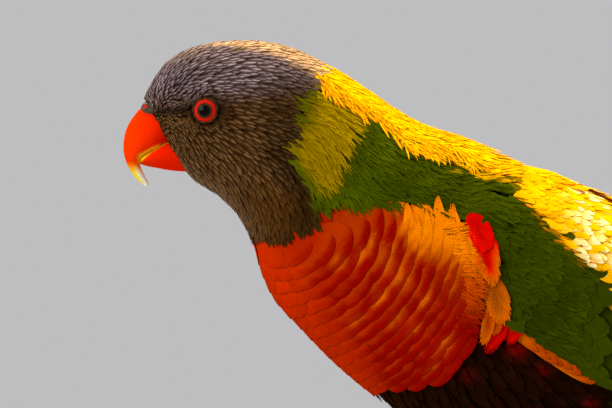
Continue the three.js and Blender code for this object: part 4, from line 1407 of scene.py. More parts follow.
def fringe(sign):
    """Fine loose barbs along the breast's rear edge, over the single feathers."""
    py = rng.uniform(224, 336, FRINGE)
    inner = rng.uniform(0, 1, FRINGE) ** 1.5
    px = FRINGE_EDGE(py) + 2 - 16 * inner + rng.normal(0, 0.8, FRINGE)
    way = np.stack([px, py], 1) - RING_MIDDLE
    way = way / np.linalg.norm(way, axis=1, keepdims=True) + rng.normal(0, 0.05, (FRINGE, 2))
    length = rng.uniform(14, 24, FRINGE)
    root, tip = body_at(px - way[:, 0] * length, py - way[:, 1] * length, sign), body_at(px, py, sign)
    high = mix(0.75, 0.25, inner) + rng.uniform(0, 0.12, FRINGE)
    plumes = Plumes(body, root, tip, rng.uniform(0.4, 0.65, FRINGE), -0.3, high, rows=6, columns=3,
                    camber=0.03, thickness=0.05, shape=outline(0.4, 0.5, 1.4), lift_power=1.6)
    base = paint(Shade.red, Shade.ember, smoothstep(330, 290, py))
    base = vary(paint(base, Shade.orange, smoothstep(290, 245, py)), 0.18)
    # Painted shade: one barb in ten is dark, for the shade in the gaps between them.
    base = base * np.where(rng.random(FRINGE) < 0.1, 0.35, 1.0)[:, None]
    return plumes, colour_vanes(plumes, base, root_shade=0.95)


# Dim red spots on the dark belly: pixel, radius in pixels, strength
BELLY_SPOTS = [(514, 347, 8, 0.7), (540, 368, 6, 0.3), (587, 402, 5, 0.4), (466, 374, 7, 0.2)]


def dark_feathers(chosen):
    """The dark belly's feathers, greener behind."""
    plumes, points = coat_group(chosen, swing=0.12, rows=6, columns=5, camber=0.25, thickness=0.14,
                                shape=outline(0.5, 0.6, 1.7), fringe=0.12, over=0.0)
    marks = markings(points)
    base = vary(Shade.belly, 0.25, plumes.count)
    base = paint(base, marks.plain * 0.7, smoothstep(572, 640, marks.px + 0.5 * (marks.py - 385)))
    colour = colour_vanes(plumes, base, tip=(1.4, 0.5))
    px, py = photo(plumes.at)
    for x, y, radius, strength in BELLY_SPOTS:
        near = strength * np.exp(-((px - x) ** 2 + (py - y) ** 2) / radius**2)
        colour = paint(colour, Shade.red, near)
    return plumes, colour


breast_parts = breast_groups()
edge_parts = {side: edge_feathers(sign) for side, sign in SIDES.items()}
fringe_parts = {side: [fringe(sign), orange_points(sign)] for side, sign in SIDES.items()}
for side, mask in halves(body, roots).items():
    breast = [breast_parts[side], edge_parts[side], *fringe_parts[side]]
    join_plumes(f"hood_coat_{side}", [hood_feathers(is_hood & mask)], HOOD_COAT, "hood")
    join_plumes(f"neck_coat_{side}", [soft_feathers(is_soft & mask)], SOFT_COAT, "collar")
    join_plumes(f"breast_coat_{side}", breast, BREAST_COAT, "breast")
    join_plumes(f"belly_coat_{side}", [dark_feathers(is_dark & mask)], SOFT_COAT, "breast")
    join_plumes(f"back_coat_{side}", [large_feathers(is_large & mask)], SOFT_COAT, "wing_feathers")

STRAND_LOCKS = 60  # on each side


def gold_strands(sign):
    """Fine bright strands that hang in small locks from the golden nape over the green, their gold partly
    painted sunlight.
    """
    lock_px = rng.uniform(318, 480, STRAND_LOCKS)
    each = rng.integers(4, 9, STRAND_LOCKS)
    px = np.repeat(lock_px, each) + rng.normal(0, 2.2, each.sum())
    count = len(px)
    root = body_at(px, GOLD_FOOT(px) + rng.uniform(-14, -1, count), sign)
    swing = np.repeat(rng.normal(0.35, 0.28, STRAND_LOCKS), each) + rng.normal(0, 0.12, count)
    ways = tangent(np.stack([swing, 0 * swing, 0 * swing - 1.0], 1), body.out(root))
    tip = lay(body, root, rng.uniform(2.4, 5.6, count), 0.1, ways)
    plumes = Plumes(body, root, tip, rng.uniform(0.35, 0.6, count), -0.1, rng.uniform(0.15, 0.5, count),
                    rows=8, columns=3, camber=0.06, thickness=0.06, shape=outline(0.4, 0.6, 1.6))
    shade = vary(mix(Shade.gold, Shade.lemon, rng.random((count, 1))), 0.12)
    return plumes, colour_vanes(plumes, shade, root_shade=0.95)


join_plumes("gold_strands", [gold_strands(sign) for sign in SIDES.values()], SOFT_COAT, "collar")

# Wings


def wing_place(along, across):
    """Places on a wing's bed, from millimetres along the wing and below its widest line."""
    span = WING_ACROSS[1] - WING_ACROSS[0]
    return np.stack([np.asarray(along) / WING_LENGTH, (np.asarray(across) - WING_ACROSS[0]) / span], -1)


# Feather rows of a wing: (along, across) of the first and last root, the same of their tips,
# width first and last, and height over the bed at root and tip
WING_ROWS = {
    "primaries": (10, (66, 17), (60, 0), (150, -5), (100, -16), 7.5, 9.5, (-4.0, -2.2), (-1.6, -1.2)),
    "secondaries": (10, (44, 17), (34, -25), (102, -3), (90, -21), 8.5, 10.5, (-3.2, -2.8), (-1.2, -0.9)),
    "tertials": (4, (34, -26), (24, -31), (88, -22), (62, -31), 10.0, 10.5, (-3.0, -2.4), (-0.9, -0.5)),
    "primary_coverts": (6, (42, 19), (38, 5), (82, 16), (70, 1), 6.5, 7.0, (-3.0, -2.4), (-0.8, -0.6)),
    "greater_coverts": (12, (24, 16.8), (18, -22), (57, 18.8), (53, -24), 6.5, 7.5,
                        (-2.6, -2.2), (-0.5, -0.3)),
    "alula": (4, (17, 17.4), (15, 10), (50, 22.1), (40, 17), 4.5, 5.5, (-2.2, -2.0), (-0.3, -0.2)),
    "median_coverts": (13, (12, 13), (9, -21), (36, 15), (34, -24), 5.5, 6.5, (-2.2, -1.8), (-0.2, 0.0)),
    "scapulars": (8, (4, -20), (26, -29), (32, -24), (60, -30), 8.0, 8.0, (-2.6, -2.4), (-0.9, -0.8)),
}
UNDERWING = (10, (12, 15.2), (27, 20.6), (28, 21.2), (43.5, 23.2), 2.8, 3.6, (-2.4, -2.4), (-1.2, -1.2))


def vane_row(bed, row, **shape):
    """A row of long feathers, evenly spaced from its first to its last."""
    count, root_a, root_b, tip_a, tip_b, wide_a, wide_b, low, high = row
    t = np.linspace(0, 1, count)
    jitter = rng.normal(0, 0.35, (count, 2))
    root = mix(np.array(root_a), np.array(root_b), t[:, None])
    tip = mix(np.array(tip_a), np.array(tip_b), t[:, None]) + jitter
    raised = mix(*high, t) + 0.05 * np.arange(count) % 0.2
    return Plumes(bed, wing_place(*root.T), wing_place(*tip.T), mix(wide_a, wide_b, t), mix(*low, t),
                  raised, **shape)


def wing_colour(points, inset=0.0):
    """Green, with painted shade in the cleft at the wing's front, and golden where the back meets the wing,
    as painted sunlight.
    """
    px, py = photo(points)
    gold = smoothstep(6, -6, py - GOLD_FOOT(px) + inset + 5 * wobble(points, 5.0)) * gold_fade(px)
    colour = paint(Shade.green, Shade.deep_green, 0.7 * (0.5 + 0.5 * wobble(points, 12.0, 1.0))) * 0.62
    # Painted shade: a dark line in the cleft where the neck's coat meets the wing's front.
    cleft = hill(py, 221, 1.6) * window(px, 474, 482, 500, 512)
    return paint(colour * (1 - 0.8 * cleft)[..., None], Shade.gold, gold)


def sunlit_tips(plumes, colour):
    """Painted sunlight: pale tips and deep golden bases where the coat is gold."""
    gold = smoothstep(0.25, 0.6, colour[..., :1])
    s = plumes.s[None, :, None, None]
    shade = mix(Shade.gold, Shade.lemon, smoothstep(0.3, 0.75, s))
    return mix(colour, shade, gold)


FLIGHT = ("primaries", "secondaries", "tertials")
WING_TILT = 0.3  # how far one edge of a vane stands over the other


def wing_vanes(bed, sign, name, row):
    """One row of a wing and its colours: dark inner halves and shafts, and paler tips."""
    flight = name in FLIGHT
    rows, shape = (26, outline(0.72, 0.55, 2.4)) if flight else (14, outline(0.6, 0.55, 2.0))
    plumes = vane_row(bed, row, rows=rows, columns=9, camber=0.5, thickness=0.2, tilt=-WING_TILT * sign,
                      fringe=0.03, crowd=1.2, shape=shape)
    base = wing_colour(plumes.at, 20.0)
    s, c = plumes.s[None, :, None, None], -sign * plumes.c[None, None, :, None]
    inner = smoothstep(0.1, 0.9, -c) * 0.7
    colour = mix(base, Shade.deep_green * 0.4, inner if flight else inner * 0.5)
    colour = mix(colour, base * 1.35, 0.5 * smoothstep(0.6, 1.0, s))
    shaft = 0.7 * smoothstep(0.14, 0.0, np.abs(c)) * (1 if flight else 0.4)
    return plumes, sunlit_tips(plumes, mix(colour, Shade.belly, shaft))


def make_wing(side):
    """One wing: its rows of vanes, the orange feathers under its edge and the small ones over it."""
    bed, sign = wing_beds[side], SIDES[side]
    groups = [wing_vanes(bed, sign, name, row) for name, row in WING_ROWS.items()]
    join_plumes(f"wing_feathers_{side}", groups, WING_COAT, "wing_feathers", f"wing_{side}")
    under = vane_row(bed, UNDERWING, rows=12, columns=7, camber=0.3, thickness=0.2, tilt=-WING_TILT * sign,
                     shape=outline(0.6, 0.55, 2.0))
    warm = vary(mix(Shade.orange, Shade.scarlet, 0.35) * 0.8, 0.1, under.count)
    warm = colour_vanes(under, warm, tip=(Shade.scarlet * 0.7, 0.7))
    join_plumes(f"underwing_feathers_{side}", [(under, warm)], BREAST_COAT, "breast")
    make_lesser_coverts(side, bed)


DOWN_FRONT = line([(200, 478), (222, 488), (250, 498), (262, 502), (285, 506), (312, 512), (330, 520),
                   (350, 535)])


def golden(points):
    """1 on the wing's golden top, which is painted sunlight."""
    px, py = photo(points)
    return smoothstep(8, -8, py - GOLD_FOOT(px) + 5 * wobble(points, 5.0))


def covert_spacing(bed):
    """Spacing of the wing's small feathers, with 0 where the long ones lie."""
    along = np.linspace(0, WING_LENGTH, bed.grid.shape[0])[:, None]
    across = np.linspace(*WING_ACROSS, bed.grid.shape[1])[None]
    front = 1.5 + 0.85 * np.clip(across, 0, None) + 6 * smoothstep(-8, -20, across)
    gold = golden(bed.grid)
    rear = np.where(gold > 0.5, 62 + 0.6 * (across + 20), 30 + 0.25 * across)
    inside = (along > front) & (along < rear) & (across > -35) & (across < 14.5 + 0.1 * along)
    return np.where(inside, mix(mix(1.9, 2.7, smoothstep(8, 32, along)), 1.4, gold), 0.0)


def down_spacing(bed):
    """Spacing of the fine down over the wing's green front."""
    px, py = photo(bed.grid)
    inside = (covert_spacing(bed) > 0) & (golden(bed.grid) < 0.5) & (px > DOWN_FRONT(py))
    return np.where(inside, 1.15, 0.0)


def rearward(bed, places):
    """Points at places on a wing, and the ways to its rear there."""
    return bed.at(places), tangent(bed.sample(bed.by_u, *places.T), bed.out(places))


def wing_down(bed, root):
    """Fine soft feathers that break up the wing's front."""
    points, ways = rearward(bed, root)
    tip = lay(bed, root, rng.uniform(3.2, 6.0, len(root)), 0.2, ways)
    width = rng.uniform(0.5, 0.95, len(root))
    plumes = Plumes(bed, root, tip, width, -0.2, rng.uniform(0.08, 0.22, len(root)), rows=5, columns=3,
                    camber=0.04, thickness=0.05, shape=outline(0.4, 0.5, 1.4))
    base = vary(wing_colour(points), 0.18)
    return plumes, colour_vanes(plumes, base, tip=(1.3, 0.5), root_shade=0.95)


def small_coverts(bed, root, length, width, low, high, **look):
    """Rounded feathers that lie to the rear, their tips and a green for each."""
    points, ways = rearward(bed, root)
    tip = lay(bed, root, length * rng.uniform(0.88, 1.12, len(root)), 0.12, ways)
    plumes = Plumes(bed, root, tip, width, low, high, **look)
    return plumes, tip, vary(wing_colour(points), 0.07)


def green_coverts(bed, root):
    """The small feathers of the wing's green front, larger to the rear."""
    wide = smoothstep(8, 34, root[:, 0] * WING_LENGTH)
    high = rng.uniform(-0.03, 0.02, len(root))
    plumes, _, base = small_coverts(
        bed, root, mix(6.5, 12.0, wide), mix(2.8, 6.8, wide), -0.7, high,
        rows=10, columns=7, camber=0.04, thickness=0.05, fringe=0.12, shape=outline(0.55, 0.6, 1.8))
    colour = colour_vanes(plumes, base, edge=(1.15, 0.3), tip=(1.1, 0.3), shaft=(0.85, 0.4), root_shade=1.0)
    return plumes, colour


def gold_coverts(bed, root):
    """The golden feathers of the wing's top, painted sunlight, some with painted glints of the sun on their
    tips.
    """
    count = len(root)
    high = rng.uniform(0.05, 0.2, count)
    plumes, tip, _ = small_coverts(
        bed, root, np.full(count, 6.6), np.full(count, 2.1), -0.4, high,
        rows=8, columns=5, camber=0.06, thickness=0.06, pinch=1.2, shape=outline(0.6, 0.6, 1.8))
    points = bed.at(tip)
    px, _ = photo(points)
    # Painted sunlight: the gold, more lemon towards the rear where the sun falls brightest.
    base = mix(Shade.lemon, Shade.gold, 0.7 * rng.random((count, 1)))
    base = vary(paint(base, Shade.lemon, 0.6 * smoothstep(550, 590, px)), 0.1)
    # Painted highlight: pale glints on the tips, in patches towards the rear.
    patch = wobble(points, 2.6) + rng.normal(0, 0.4, count)
    shine = smoothstep(560, 590, px) * 0.9 * smoothstep(0.0, 0.6, patch) * gold_fade(px)
    glint = paint(base * 1.1, Shade.painted_glint, shine)
    colour = colour_vanes(plumes, base, tip=(glint, 1.0), tip_from=0.4, root_shade=0.85)
    return plumes, mix(Shade.green * 0.6, colour, gold_fade(px)[:, None, None, None])


def make_lesser_coverts(side, bed):
    """Small overlapping feathers over the wing's front and its golden top."""
    root = scatter(bed, covert_spacing(bed))
    down = wing_down(bed, scatter(bed, down_spacing(bed)))
    gold = golden(bed.at(root)) > 0.5
    groups = [down, green_coverts(bed, root[~gold]), gold_coverts(bed, root[gold])]
    join_plumes(f"lesser_coverts_{side}", groups, WING_COAT, "wing_feathers")


for side in wing_beds:
    make_wing(side)

# Tail


def tail_place(along, across):
    """Places on the tail's bed, from millimetres along and across it."""
    return np.stack([np.asarray(along) / TAIL_LENGTH, (np.asarray(across) + TAIL_HALF) / (2 * TAIL_HALF)], -1)


# The long feathers from the middle out
TAIL_LENGTHS = [124, 117, 108, 97, 86, 75]
TAIL_WIDTHS = [10.5, 10.5, 10.5, 10, 9.5, 9]


def tail_coverts(sign, level, shade, rump, rows=9, each=8):
    """Rows of feathers over (sign 1) or under (-1) the tail's base, the front ones outermost."""
    row = np.repeat(np.arange(rows), each)
    t = np.tile(np.linspace(-1, 1, each), rows) + (row % 2 - 0.5) * 0.16 + rng.normal(0, 0.04, rows * each)
    along = 4 + 4.5 * row + rng.normal(0, 0.7, len(row))
    root, tip = tail_place(along, t * 10.5), tail_place(along + 18, t * 12)
    low = sign * (level - 1.2 + rump * smoothstep(50, 12, along))
    high = sign * (level + 0.9 - 0.09 * row + rump * smoothstep(50, 12, along + 18))
    plumes = Plumes(tail_bed, root, tip, rng.uniform(5.0, 6.2, len(row)), low, high, rows=10, columns=7,
                    camber=0.4 * sign, thickness=0.2, fringe=0.05, shape=outline(0.6, 0.6, 2.0))
    return plumes, colour_vanes(plumes, vary(shade, 0.15, len(row)), edge=(1.2, 0.4), tip=(1.3, 0.5))


def tail_feather(sign, i, length, width):
    """One long feather, the i-th out from the middle."""
    across = sign * (2.2 + 1.35 * i)
    root, tip = tail_place([8 + 1.5 * i], [across * 0.95]), tail_place([length - 1], [across])
    plumes = Plumes(tail_bed, root, tip, width, -1.6 - 0.45 * i, 0.9 - 0.5 * i, rows=30, columns=9,
                    camber=0.35, thickness=0.25, tilt=-0.25 * sign, fringe=0.02, crowd=1.1,
                    shape=outline(0.8, 0.8, 2.0))
    s, c = plumes.s[None, :, None, None], sign * plumes.c[None, None, :, None]
    base = mix(Shade.green, Shade.vent, 0.25 * smoothstep(0.5, 1.0, s))
    colour = mix(base, Shade.deep_green * 0.4, 0.7 * smoothstep(0.1, 0.9, -c))
    colour = mix(colour, Shade.vent, 0.5 * smoothstep(0.6, 1.0, c))
    return plumes, mix(colour, Shade.belly, 0.7 * smoothstep(0.14, 0.0, np.abs(c)))


def make_tail():
    """Twelve long feathers, with small ones over and under their bases."""
    sizes = list(zip(TAIL_LENGTHS, TAIL_WIDTHS))
    groups = [tail_feather(sign, i, *size) for sign in SIDES.values() for i, size in enumerate(sizes)]
    groups += [tail_coverts(1, 0.8, Shade.green, 6.0), tail_coverts(-1, 4.2, Shade.vent, 3.0)]
    join_plumes("tail_feathers", groups, WING_COAT, "tail_feathers", "tail")


make_tail()

# Bill


def loft(stations, rows, columns):
    """A tube through stations: (top x, z), (bottom x, z), half width, lean."""
    flat = spline([(*a, *b, half, lean) for a, b, half, lean in stations], rows)
    top = np.stack([flat[:, 0], 0 * flat[:, 0], flat[:, 1]], 1)
    bottom = np.stack([flat[:, 2], 0 * flat[:, 0], flat[:, 3]], 1)
    half, lean = flat[:, 4, None], flat[:, 5, None]
    phi = ring_angles(columns)[None]
    rise = np.cos(phi) + lean * np.sin(phi) ** 2
    grid = (top + bottom)[:, None] / 2 + ((top - bottom) / 2)[:, None] * rise[..., None]
    grid[..., 1] -= half * np.sin(phi)
    return grid


# Sections of the bill: (x, z) above, (x, z) below, half width, lean
UPPER_BILL = [
    ((-106, 125), (-102, 115.5), 6.8, -0.1),
    ((-113.2, 123.6), (-107.6, 113.9), 7.1, -0.15),
    ((-116.5, 120.6), (-109.9, 112.4), 6.6, -0.25),
    ((-118.4, 117), (-112, 111.5), 5.8, -0.3),
    ((-119, 112.8), (-114.2, 110.1), 4.7, -0.3),
    ((-118.4, 109.5), (-114.7, 108.5), 3.3, -0.25),
    ((-117, 106.8), (-114.1, 106.9), 2.3, -0.2),
    ((-115.3, 104.5), (-113.3, 105.2), 1.4, -0.1),
    ((-113.2, 102.8), (-112.4, 103.5), 0.5, 0.0),
]
LOWER_BILL = [
    ((-100, 117), (-97, 106.2), 6.3, 0.2),
    ((-106.8, 115), (-103.5, 106.7), 6.2, 0.2),
    ((-109.6, 113.8), (-107, 107), 5.9, 0.2),
    ((-112, 112.2), (-110.4, 107.6), 5.1, 0.2),
    ((-114.2, 110.8), (-113.4, 108.2), 4.0, 0.2),
    ((-115.3, 109.8), (-115.1, 108.9), 1.6, 0.1),
]
GAPE = np.array([(168.5, 142.0), (152.0, 150.0), (138.0, 160.0)])  # pixels along the bill's yellow edge


def gape_line(points):
    """1 on the yellow line between the bill's halves, which widens towards the hook."""
    px, py = photo(points)
    along = np.clip((GAPE[0, 0] - px) / (GAPE[0, 0] - GAPE[-1, 0]), 0, 1)
    level = np.interp(px, GAPE[::-1, 0], GAPE[::-1, 1])
    half = mix(1.4, 7.0, along**1.5) * (px < GAPE[0, 0] + 1)
    return smoothstep(1.0, 0.35, np.abs(py - level) / np.maximum(half, 0.01)) * smoothstep(136, 141, px)


def make_bill():
    """Both halves of the bill, red with a yellow hook and a yellow gape."""
    red, orange = srgb(250, 34, 0), srgb(252, 58, 0)
    yellow, white = srgb(255, 222, 0), srgb(255, 255, 240)
    rows, columns = 90, 64
    for node, stations in (("bill_upper", UPPER_BILL), ("bill_lower", LOWER_BILL)):
        grid = loft(stations, rows, columns)
        points = tube_points(grid)
        x, z = points[:, 0], points[:, 2]
        colour = paint(red, orange, smoothstep(-108, -118, x))
        if node == "bill_upper":
            # Painted light: the hook's inner side is white where light from behind shines through it, and its
            # tip is white, partly its own pale colour and partly painted light.
            round_way = np.abs(np.arange(columns) - columns // 2) / (columns // 2)
            inner = np.append(np.tile(smoothstep(0.75, 0.45, round_way), rows), [0, 1])
            colour = paint(colour, yellow, smoothstep(109.5, 105.5, z))
            colour = paint(colour, white, smoothstep(108.5, 105.0, z) * inner)
            colour = paint(colour, white, smoothstep(104.5, 102.8, z))
        colour = paint(colour, srgb(255, 196, 24), gape_line(points))
        make_tube(f"{node}_horn", grid, BILL_HORN, colour, "bill_horn", node)


make_bill()

# Cere and nostrils

CERE_MIDDLE = np.array([-111.4, 0, 122.4])
CERE_HALF = np.array([3.2, 6.1, 2.7])  # half axes
NOSTRIL = np.array([-113.4, 0.0, 123.2])


def make_cere():
    """The bare swelling over the bill, with a dimple and a rim for each nostril."""
    polar = np.linspace(0.02, math.pi - 0.02, 40)[:, None]
    phi = ring_angles(72)[None]
    out = np.stack(np.broadcast_arrays(
        np.sin(polar) * np.cos(phi), np.cos(polar), np.sin(polar) * np.sin(phi)), -1)
    hole = (NOSTRIL - CERE_MIDDLE) / CERE_HALF
    hole[1] = math.sqrt(1 - hole @ hole)
    gap = np.min([np.linalg.norm(out - hole * [1, sign, 1], axis=-1) for sign in (-1, 1)], axis=0)
    raised = 0.35 * hill(gap, 0.26, 0.09) - 0.7 * smoothstep(0.2, 0.05, gap)
    grid = CERE_MIDDLE + out * CERE_HALF + out * raised[..., None]
    colour = paint(srgb(84, 72, 56), srgb(240, 30, 4), smoothstep(0.22, 0.14, gap))
    make_tube("cere_skin", grid, BARE_SKIN, tube_points(colour), "cere_skin", "cere")


make_cere()

# Eyes and lids

# The eye's colour: millimetres from its axis, and the screen colour there
EYE_RINGS = [(0.0, 6, 5, 5), (1.3, 6, 5, 5), (1.42, 58, 42, 14), (1.85, 70, 46, 14), (2.0, 196, 16, 4),
             (2.5, 232, 32, 8), (2.9, 180, 12, 4), (3.05, 22, 12, 8), (4.4, 14, 9, 7)]


def lathe(centre, axes, profile, columns=72):
    """Turns (along the axis, out from it) pairs round the axis."""
    out, up, across = axes
    phi = ring_angles(columns)[:, None]
    ring = np.cos(phi) * up + np.sin(phi) * across
    return centre + profile[:, None, :1] * out + profile[:, None, 1:] * ring


def make_eye(name, centre):
    """A wet ball with a domed front, a black pupil and a red iris."""
    angles = np.concatenate([np.linspace(0.01, 0.85, 60), np.linspace(0.9, math.pi - 0.01, 30)])
    cornea = EYE_RADIUS + 0.25 * np.cos(np.clip(angles / 0.75, 0, 1) * math.pi / 2) ** 2
    profile = np.stack([cornea * np.cos(angles), cornea * np.sin(angles)], 1)
    grid = lathe(centre, eye_frame(centre), profile)
    at, *shades = np.array(EYE_RINGS).T
    reach = np.where(angles < math.pi / 2, EYE_RADIUS * np.sin(angles), EYE_RADIUS)
    rings = np.stack([np.interp(reach, at, band) for band in srgb(*shades)], 1)
    colours = np.vstack([np.repeat(rings, grid.shape[1], 0), rings[0], rings[-1]])
    make_tube(f"{name}_ball", grid, EYE_WET, colours, "eye", name)


def make_lid(name, centre):
    """A bare ring round the eye, thick at its rim, with fine folds round it."""
    reach = mix(2.9, 4.2, np.linspace(0, 1, 48))
    ball = np.sqrt(EYE_RADIUS**2 - reach**2)
    height = np.maximum(ball, 2.6) + 0.42 * hill(reach, 3.25, 0.32) - 0.5 * smoothstep(3.5, 4.2, reach)
    height = height + 0.05 * np.sin(reach * 14)
    outer, inner = np.stack([height, reach], 1), np.stack([height - 0.8, reach], 1)[::-1]
    grid = lathe(centre, eye_frame(centre), np.vstack([outer, inner]), 96)
    rows, columns = grid.shape[:2]
    vertices = grid.reshape(-1, 3)
    faces = outward(vertices, grid_faces(rows, columns, closed=True))
    piece = make_object(f"{name}_lid", vertices, faces, BARE_SKIN)
    set_tint(piece, paint(srgb(34, 22, 8), srgb(84, 60, 26), 0.5 + 0.5 * wobble(vertices, 0.8)))
    u, v = np.repeat(np.linspace(0, 1, rows), columns), np.tile(np.arange(columns) / columns, rows)
    set_uv(piece, "OFBake", np.stack([u, v], 1))
    ride(piece, "hood")


for name, centre in EYES.items():
    make_eye(name, centre)
    make_lid(name, centre)

# Legs, feet and claws


def smooth_copy(node, name, voxel, material, times):
    """A node's solid, remeshed fine and relaxed."""
    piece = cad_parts[node].copy()
    piece.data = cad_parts[node].data.copy()
    piece.name = piece.data.name = name
    for key in list(piece.keys()):
        del piece[key]
    piece.parent = None
    bpy.context.scene.collection.objects.link(piece)
    piece.hide_render = piece.hide_viewport = False
    remesh = piece.modifiers.new("fine", "REMESH")
    remesh.mode = "VOXEL"
    remesh.voxel_size = voxel * MM
    relax = piece.modifiers.new("relax", "SMOOTH")
    relax.iterations = times
    relax.factor = 0.5
    graph = bpy.context.evaluated_depsgraph_get()
    mesh = bpy.data.meshes.new_from_object(piece.evaluated_get(graph))
    piece.modifiers.clear()
    piece.data = mesh
    mesh.materials.clear()
    mesh.materials.append(material)
    mesh.polygons.foreach_set("use_smooth", np.ones(len(mesh.polygons), bool))
    return piece


def points_of(piece):
    """Vertices in millimetres."""
    flat = np.zeros(len(piece.data.vertices) * 3, np.float32)
    piece.data.vertices.foreach_get("co", flat)
    return flat.reshape(-1, 3) / MM - SHIFT


def move_points(piece, points):
    """Puts the vertices at points."""
    flat = ((points + SHIFT) * MM).astype(np.float32)
    piece.data.vertices.foreach_set("co", flat.ravel())
    piece.data.update()


def normals_of(piece):
    """Ways out of the surface at the vertices."""
    flat = np.zeros(len(piece.data.vertices) * 3, np.float32)
    piece.data.vertex_normals.foreach_get("vector", flat)
    return flat.reshape(-1, 3)


def box_uv(points):
    """Places of points in a slanted side view of their box."""
    x, y, z = ((points - points.min(0)) / np.ptp(points, axis=0)).T
    return 0.02 + 0.96 * np.stack([(x + 0.3 * y) / 1.3, (z + 0.3 * y) / 1.3], 1)


def make_foot(side):
    """One foot, with rows of scales above its sole."""
    piece = smooth_copy(f"foot_{side}", f"foot_skin_{side}", 0.42, FOOT_SKIN, 6)
    points, normals = points_of(piece), normals_of(piece)
    scutes = np.abs(np.sin(points[:, 0] * 2.6 + points[:, 2] * 2.4 + 0.6 * np.sin(points[:, 1] * 2.2))) ** 0.5
    above = smoothstep(0.25, 1.2, points[:, 2])
    move_points(piece, points + normals * ((scutes - 0.7) * 0.22 * above)[:, None])
    tone = mix(srgb(58, 54, 54), srgb(128, 122, 118), scutes[:, None])
    set_tint(piece, tone * mix(0.7, 1.0, above)[:, None])
    set_uv(piece, "OFBake", box_uv(points))
    ride(piece, "foot_scales", f"foot_{side}")


def make_claw(node):
    """One claw, darker at the floor."""
    piece = smooth_copy(node, node.replace("claw", "claw_horn"), 0.2, CLAW_HORN, 3)
    points = points_of(piece)
    tone = mix(srgb(28, 25, 24), srgb(70, 62, 56), smoothstep(0.0, 3.0, points[:, 2])[:, None])
    set_tint(piece, tone)
    set_uv(piece, "OFBake", box_uv(points))
    ride(piece, "claw_horn", node)


def thigh_bed(side):
    """One thigh's surface, with u down the leg."""
    low, high = (np.array(corner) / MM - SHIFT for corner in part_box(f"thigh_{side}"))
    points = np.array([v.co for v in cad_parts[f"thigh_{side}"].data.vertices]) / MM - SHIFT
    level = np.linspace(high[2] - 7, low[2] + 0.4, 40)
    centres = []
    for z in level:
        near = points[np.abs(points[:, 2] - z) < 5, :2]
        centres.append([*(near.min(0) + near.max(0)) / 2, z])
    centres = np.array(centres)
    phi = ring_angles(48)
    ways = np.stack([np.cos(phi), np.sin(phi), 0 * phi], -1)[None].repeat(len(level), 0)
    radii = cast_radii(node_tree([f"thigh_{side}"]), centres, ways)
    column = np.nanmean(radii, axis=1)
    column = np.where(np.isnan(column), np.nanmin(column), column)
    radii = np.where(np.isnan(radii), column[:, None], radii)
    radii = blur(radii, 12) * mix(0.3, 1.0, smoothstep(47, 37, level))[:, None]
    return Bed(centres[:, None] + ways * radii[..., None], centres[:, None], closed=True)


def make_thigh(side):
    """A thigh's skin and its feathers, dark where they meet the belly."""
    bed = thigh_bed(side)
    grid = bed.grid - bed.normal * 0.8
    colours = np.tile(Shade.belly, (len(tube_points(grid)), 1))
    make_tube(f"thigh_skin_{side}", grid, SKIN, colours, "thigh_feathers", f"thigh_{side}")
    root = scatter(bed, np.full(bed.grid.shape[:2], 1.7))
    count = len(root)
    down = tangent(np.array([0.25, 0.0, -1.0]), bed.out(root))
    tip = lay(bed, root, rng.uniform(4.5, 6.5, count), 0.12, down)
    plumes = Plumes(bed, root, tip, rng.uniform(2.0, 2.8, count), -0.9, 0.25, rows=6, columns=5,
                    camber=0.2, thickness=0.12, fringe=0.12, shape=outline(0.5, 0.6, 1.7))
    base = vary(mix(Shade.green, Shade.vent, rng.random((count, 1))), 0.2)
    base = paint(base, Shade.belly, smoothstep(38, 44, bed.at(root)[:, 2]))
    coat = plumes, colour_vanes(plumes, base, tip=(1.4, 0.5))
    join_plumes(f"thigh_coat_{side}", [coat], SOFT_COAT, "thigh_feathers")


for side in SIDES:
    make_foot(side)
    make_thigh(side)
for node in list(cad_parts):
    if node.startswith("claw_"):
        make_claw(node)

# Stage, lights and camera

FLOOR_RADIUS = 1.7  # metres
FLOOR_GREY = (0.3, 0.3, 0.31)


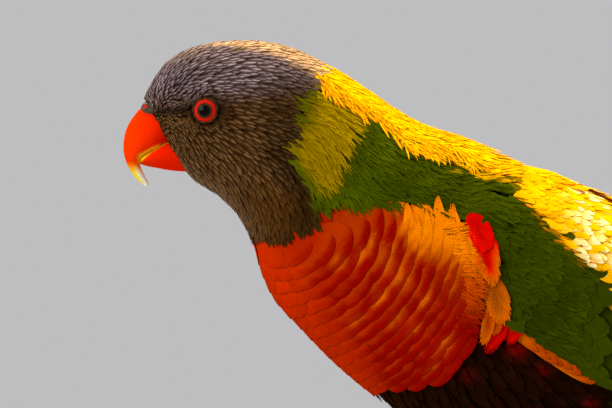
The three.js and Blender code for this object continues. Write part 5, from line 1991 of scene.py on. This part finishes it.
def make_stage():
    """A pale round floor."""
    vertices = [(FLOOR_RADIUS * math.cos(a), FLOOR_RADIUS * math.sin(a), 0.0) for a in ring_angles(96)]
    mesh = bpy.data.meshes.new("stage")
    mesh.from_pydata(vertices, [], [list(range(len(vertices)))])
    shader = Shader("pale_paper", {"Roughness": 0.9, "Specular IOR Level": 0.1})
    mesh.materials.append(shader.finish(shader.scale(FLOOR_GREY, 0.98, 1.02, shader.noise(20.0))))
    link("stage", mesh)


PHOTO_MIDDLE = np.array([PHOTO_SIZE[0] / 2 - PX_ORIGIN, 0.0, PX_ORIGIN - PHOTO_SIZE[1] / 2]) * PX_MM
SENSOR = 36.0  # millimetres
CAMERA_DISTANCE = 2.0  # metres


def place(thing, where, target):
    """Puts a lamp or a camera somewhere and aims it."""
    thing.location = Vector(where)
    thing.rotation_euler = (Vector(target) - thing.location).to_track_quat("-Z", "Y").to_euler()


def make_light(name, where, target, size, power, colour):
    """A square lamp that isn't seen itself."""
    lamp = bpy.data.lights.new(name, "AREA")
    lamp.size, lamp.energy, lamp.color = size, power, colour
    piece = link(name, lamp)
    place(piece, where, target)
    piece.visible_camera = False


def make_camera():
    """Looks at the bird's left side, with the photo's scale at the bird's middle plane."""
    middle = (PHOTO_MIDDLE + SHIFT) * MM
    camera = bpy.data.cameras.new("camera")
    camera.sensor_width = SENSOR
    camera.lens = SENSOR * CAMERA_DISTANCE / (PHOTO_SIZE[0] * PX_MM * MM)
    piece = link("camera", camera)
    place(piece, middle - np.array([0, CAMERA_DISTANCE, 0]), middle)
    bpy.context.scene.camera = piece
    return middle


# Lamps: metres from the middle of the photo's view, size in metres, power in watts, colour
LAMPS = {
    "sun_window": ((0.68, 0.22, 1.0), 0.32, 28.0, (1.0, 0.87, 0.62)),
    "rim_window": ((-0.3, 1.2, 0.84), 0.6, 18.0, (1.0, 0.88, 0.7)),
    "side_panel": ((-2.2, -1.6, 0.9), 1.8, 54.5, (1.0, 0.97, 0.92)),
}
BACKDROP = {"Color": (0.515, 0.515, 0.525, 1), "Strength": 1.0}

make_stage()
middle = make_camera()
for name, (offset, size, power, colour) in LAMPS.items():
    make_light(name, middle + np.array(offset), middle, size, power, colour)
world = bpy.data.worlds.new("studio")
world.use_nodes = True
for socket, value in BACKDROP.items():
    world.node_tree.nodes["Background"].inputs[socket].default_value = value
bpy.context.scene.world = world
bpy.context.scene.view_settings.view_transform = "Standard"
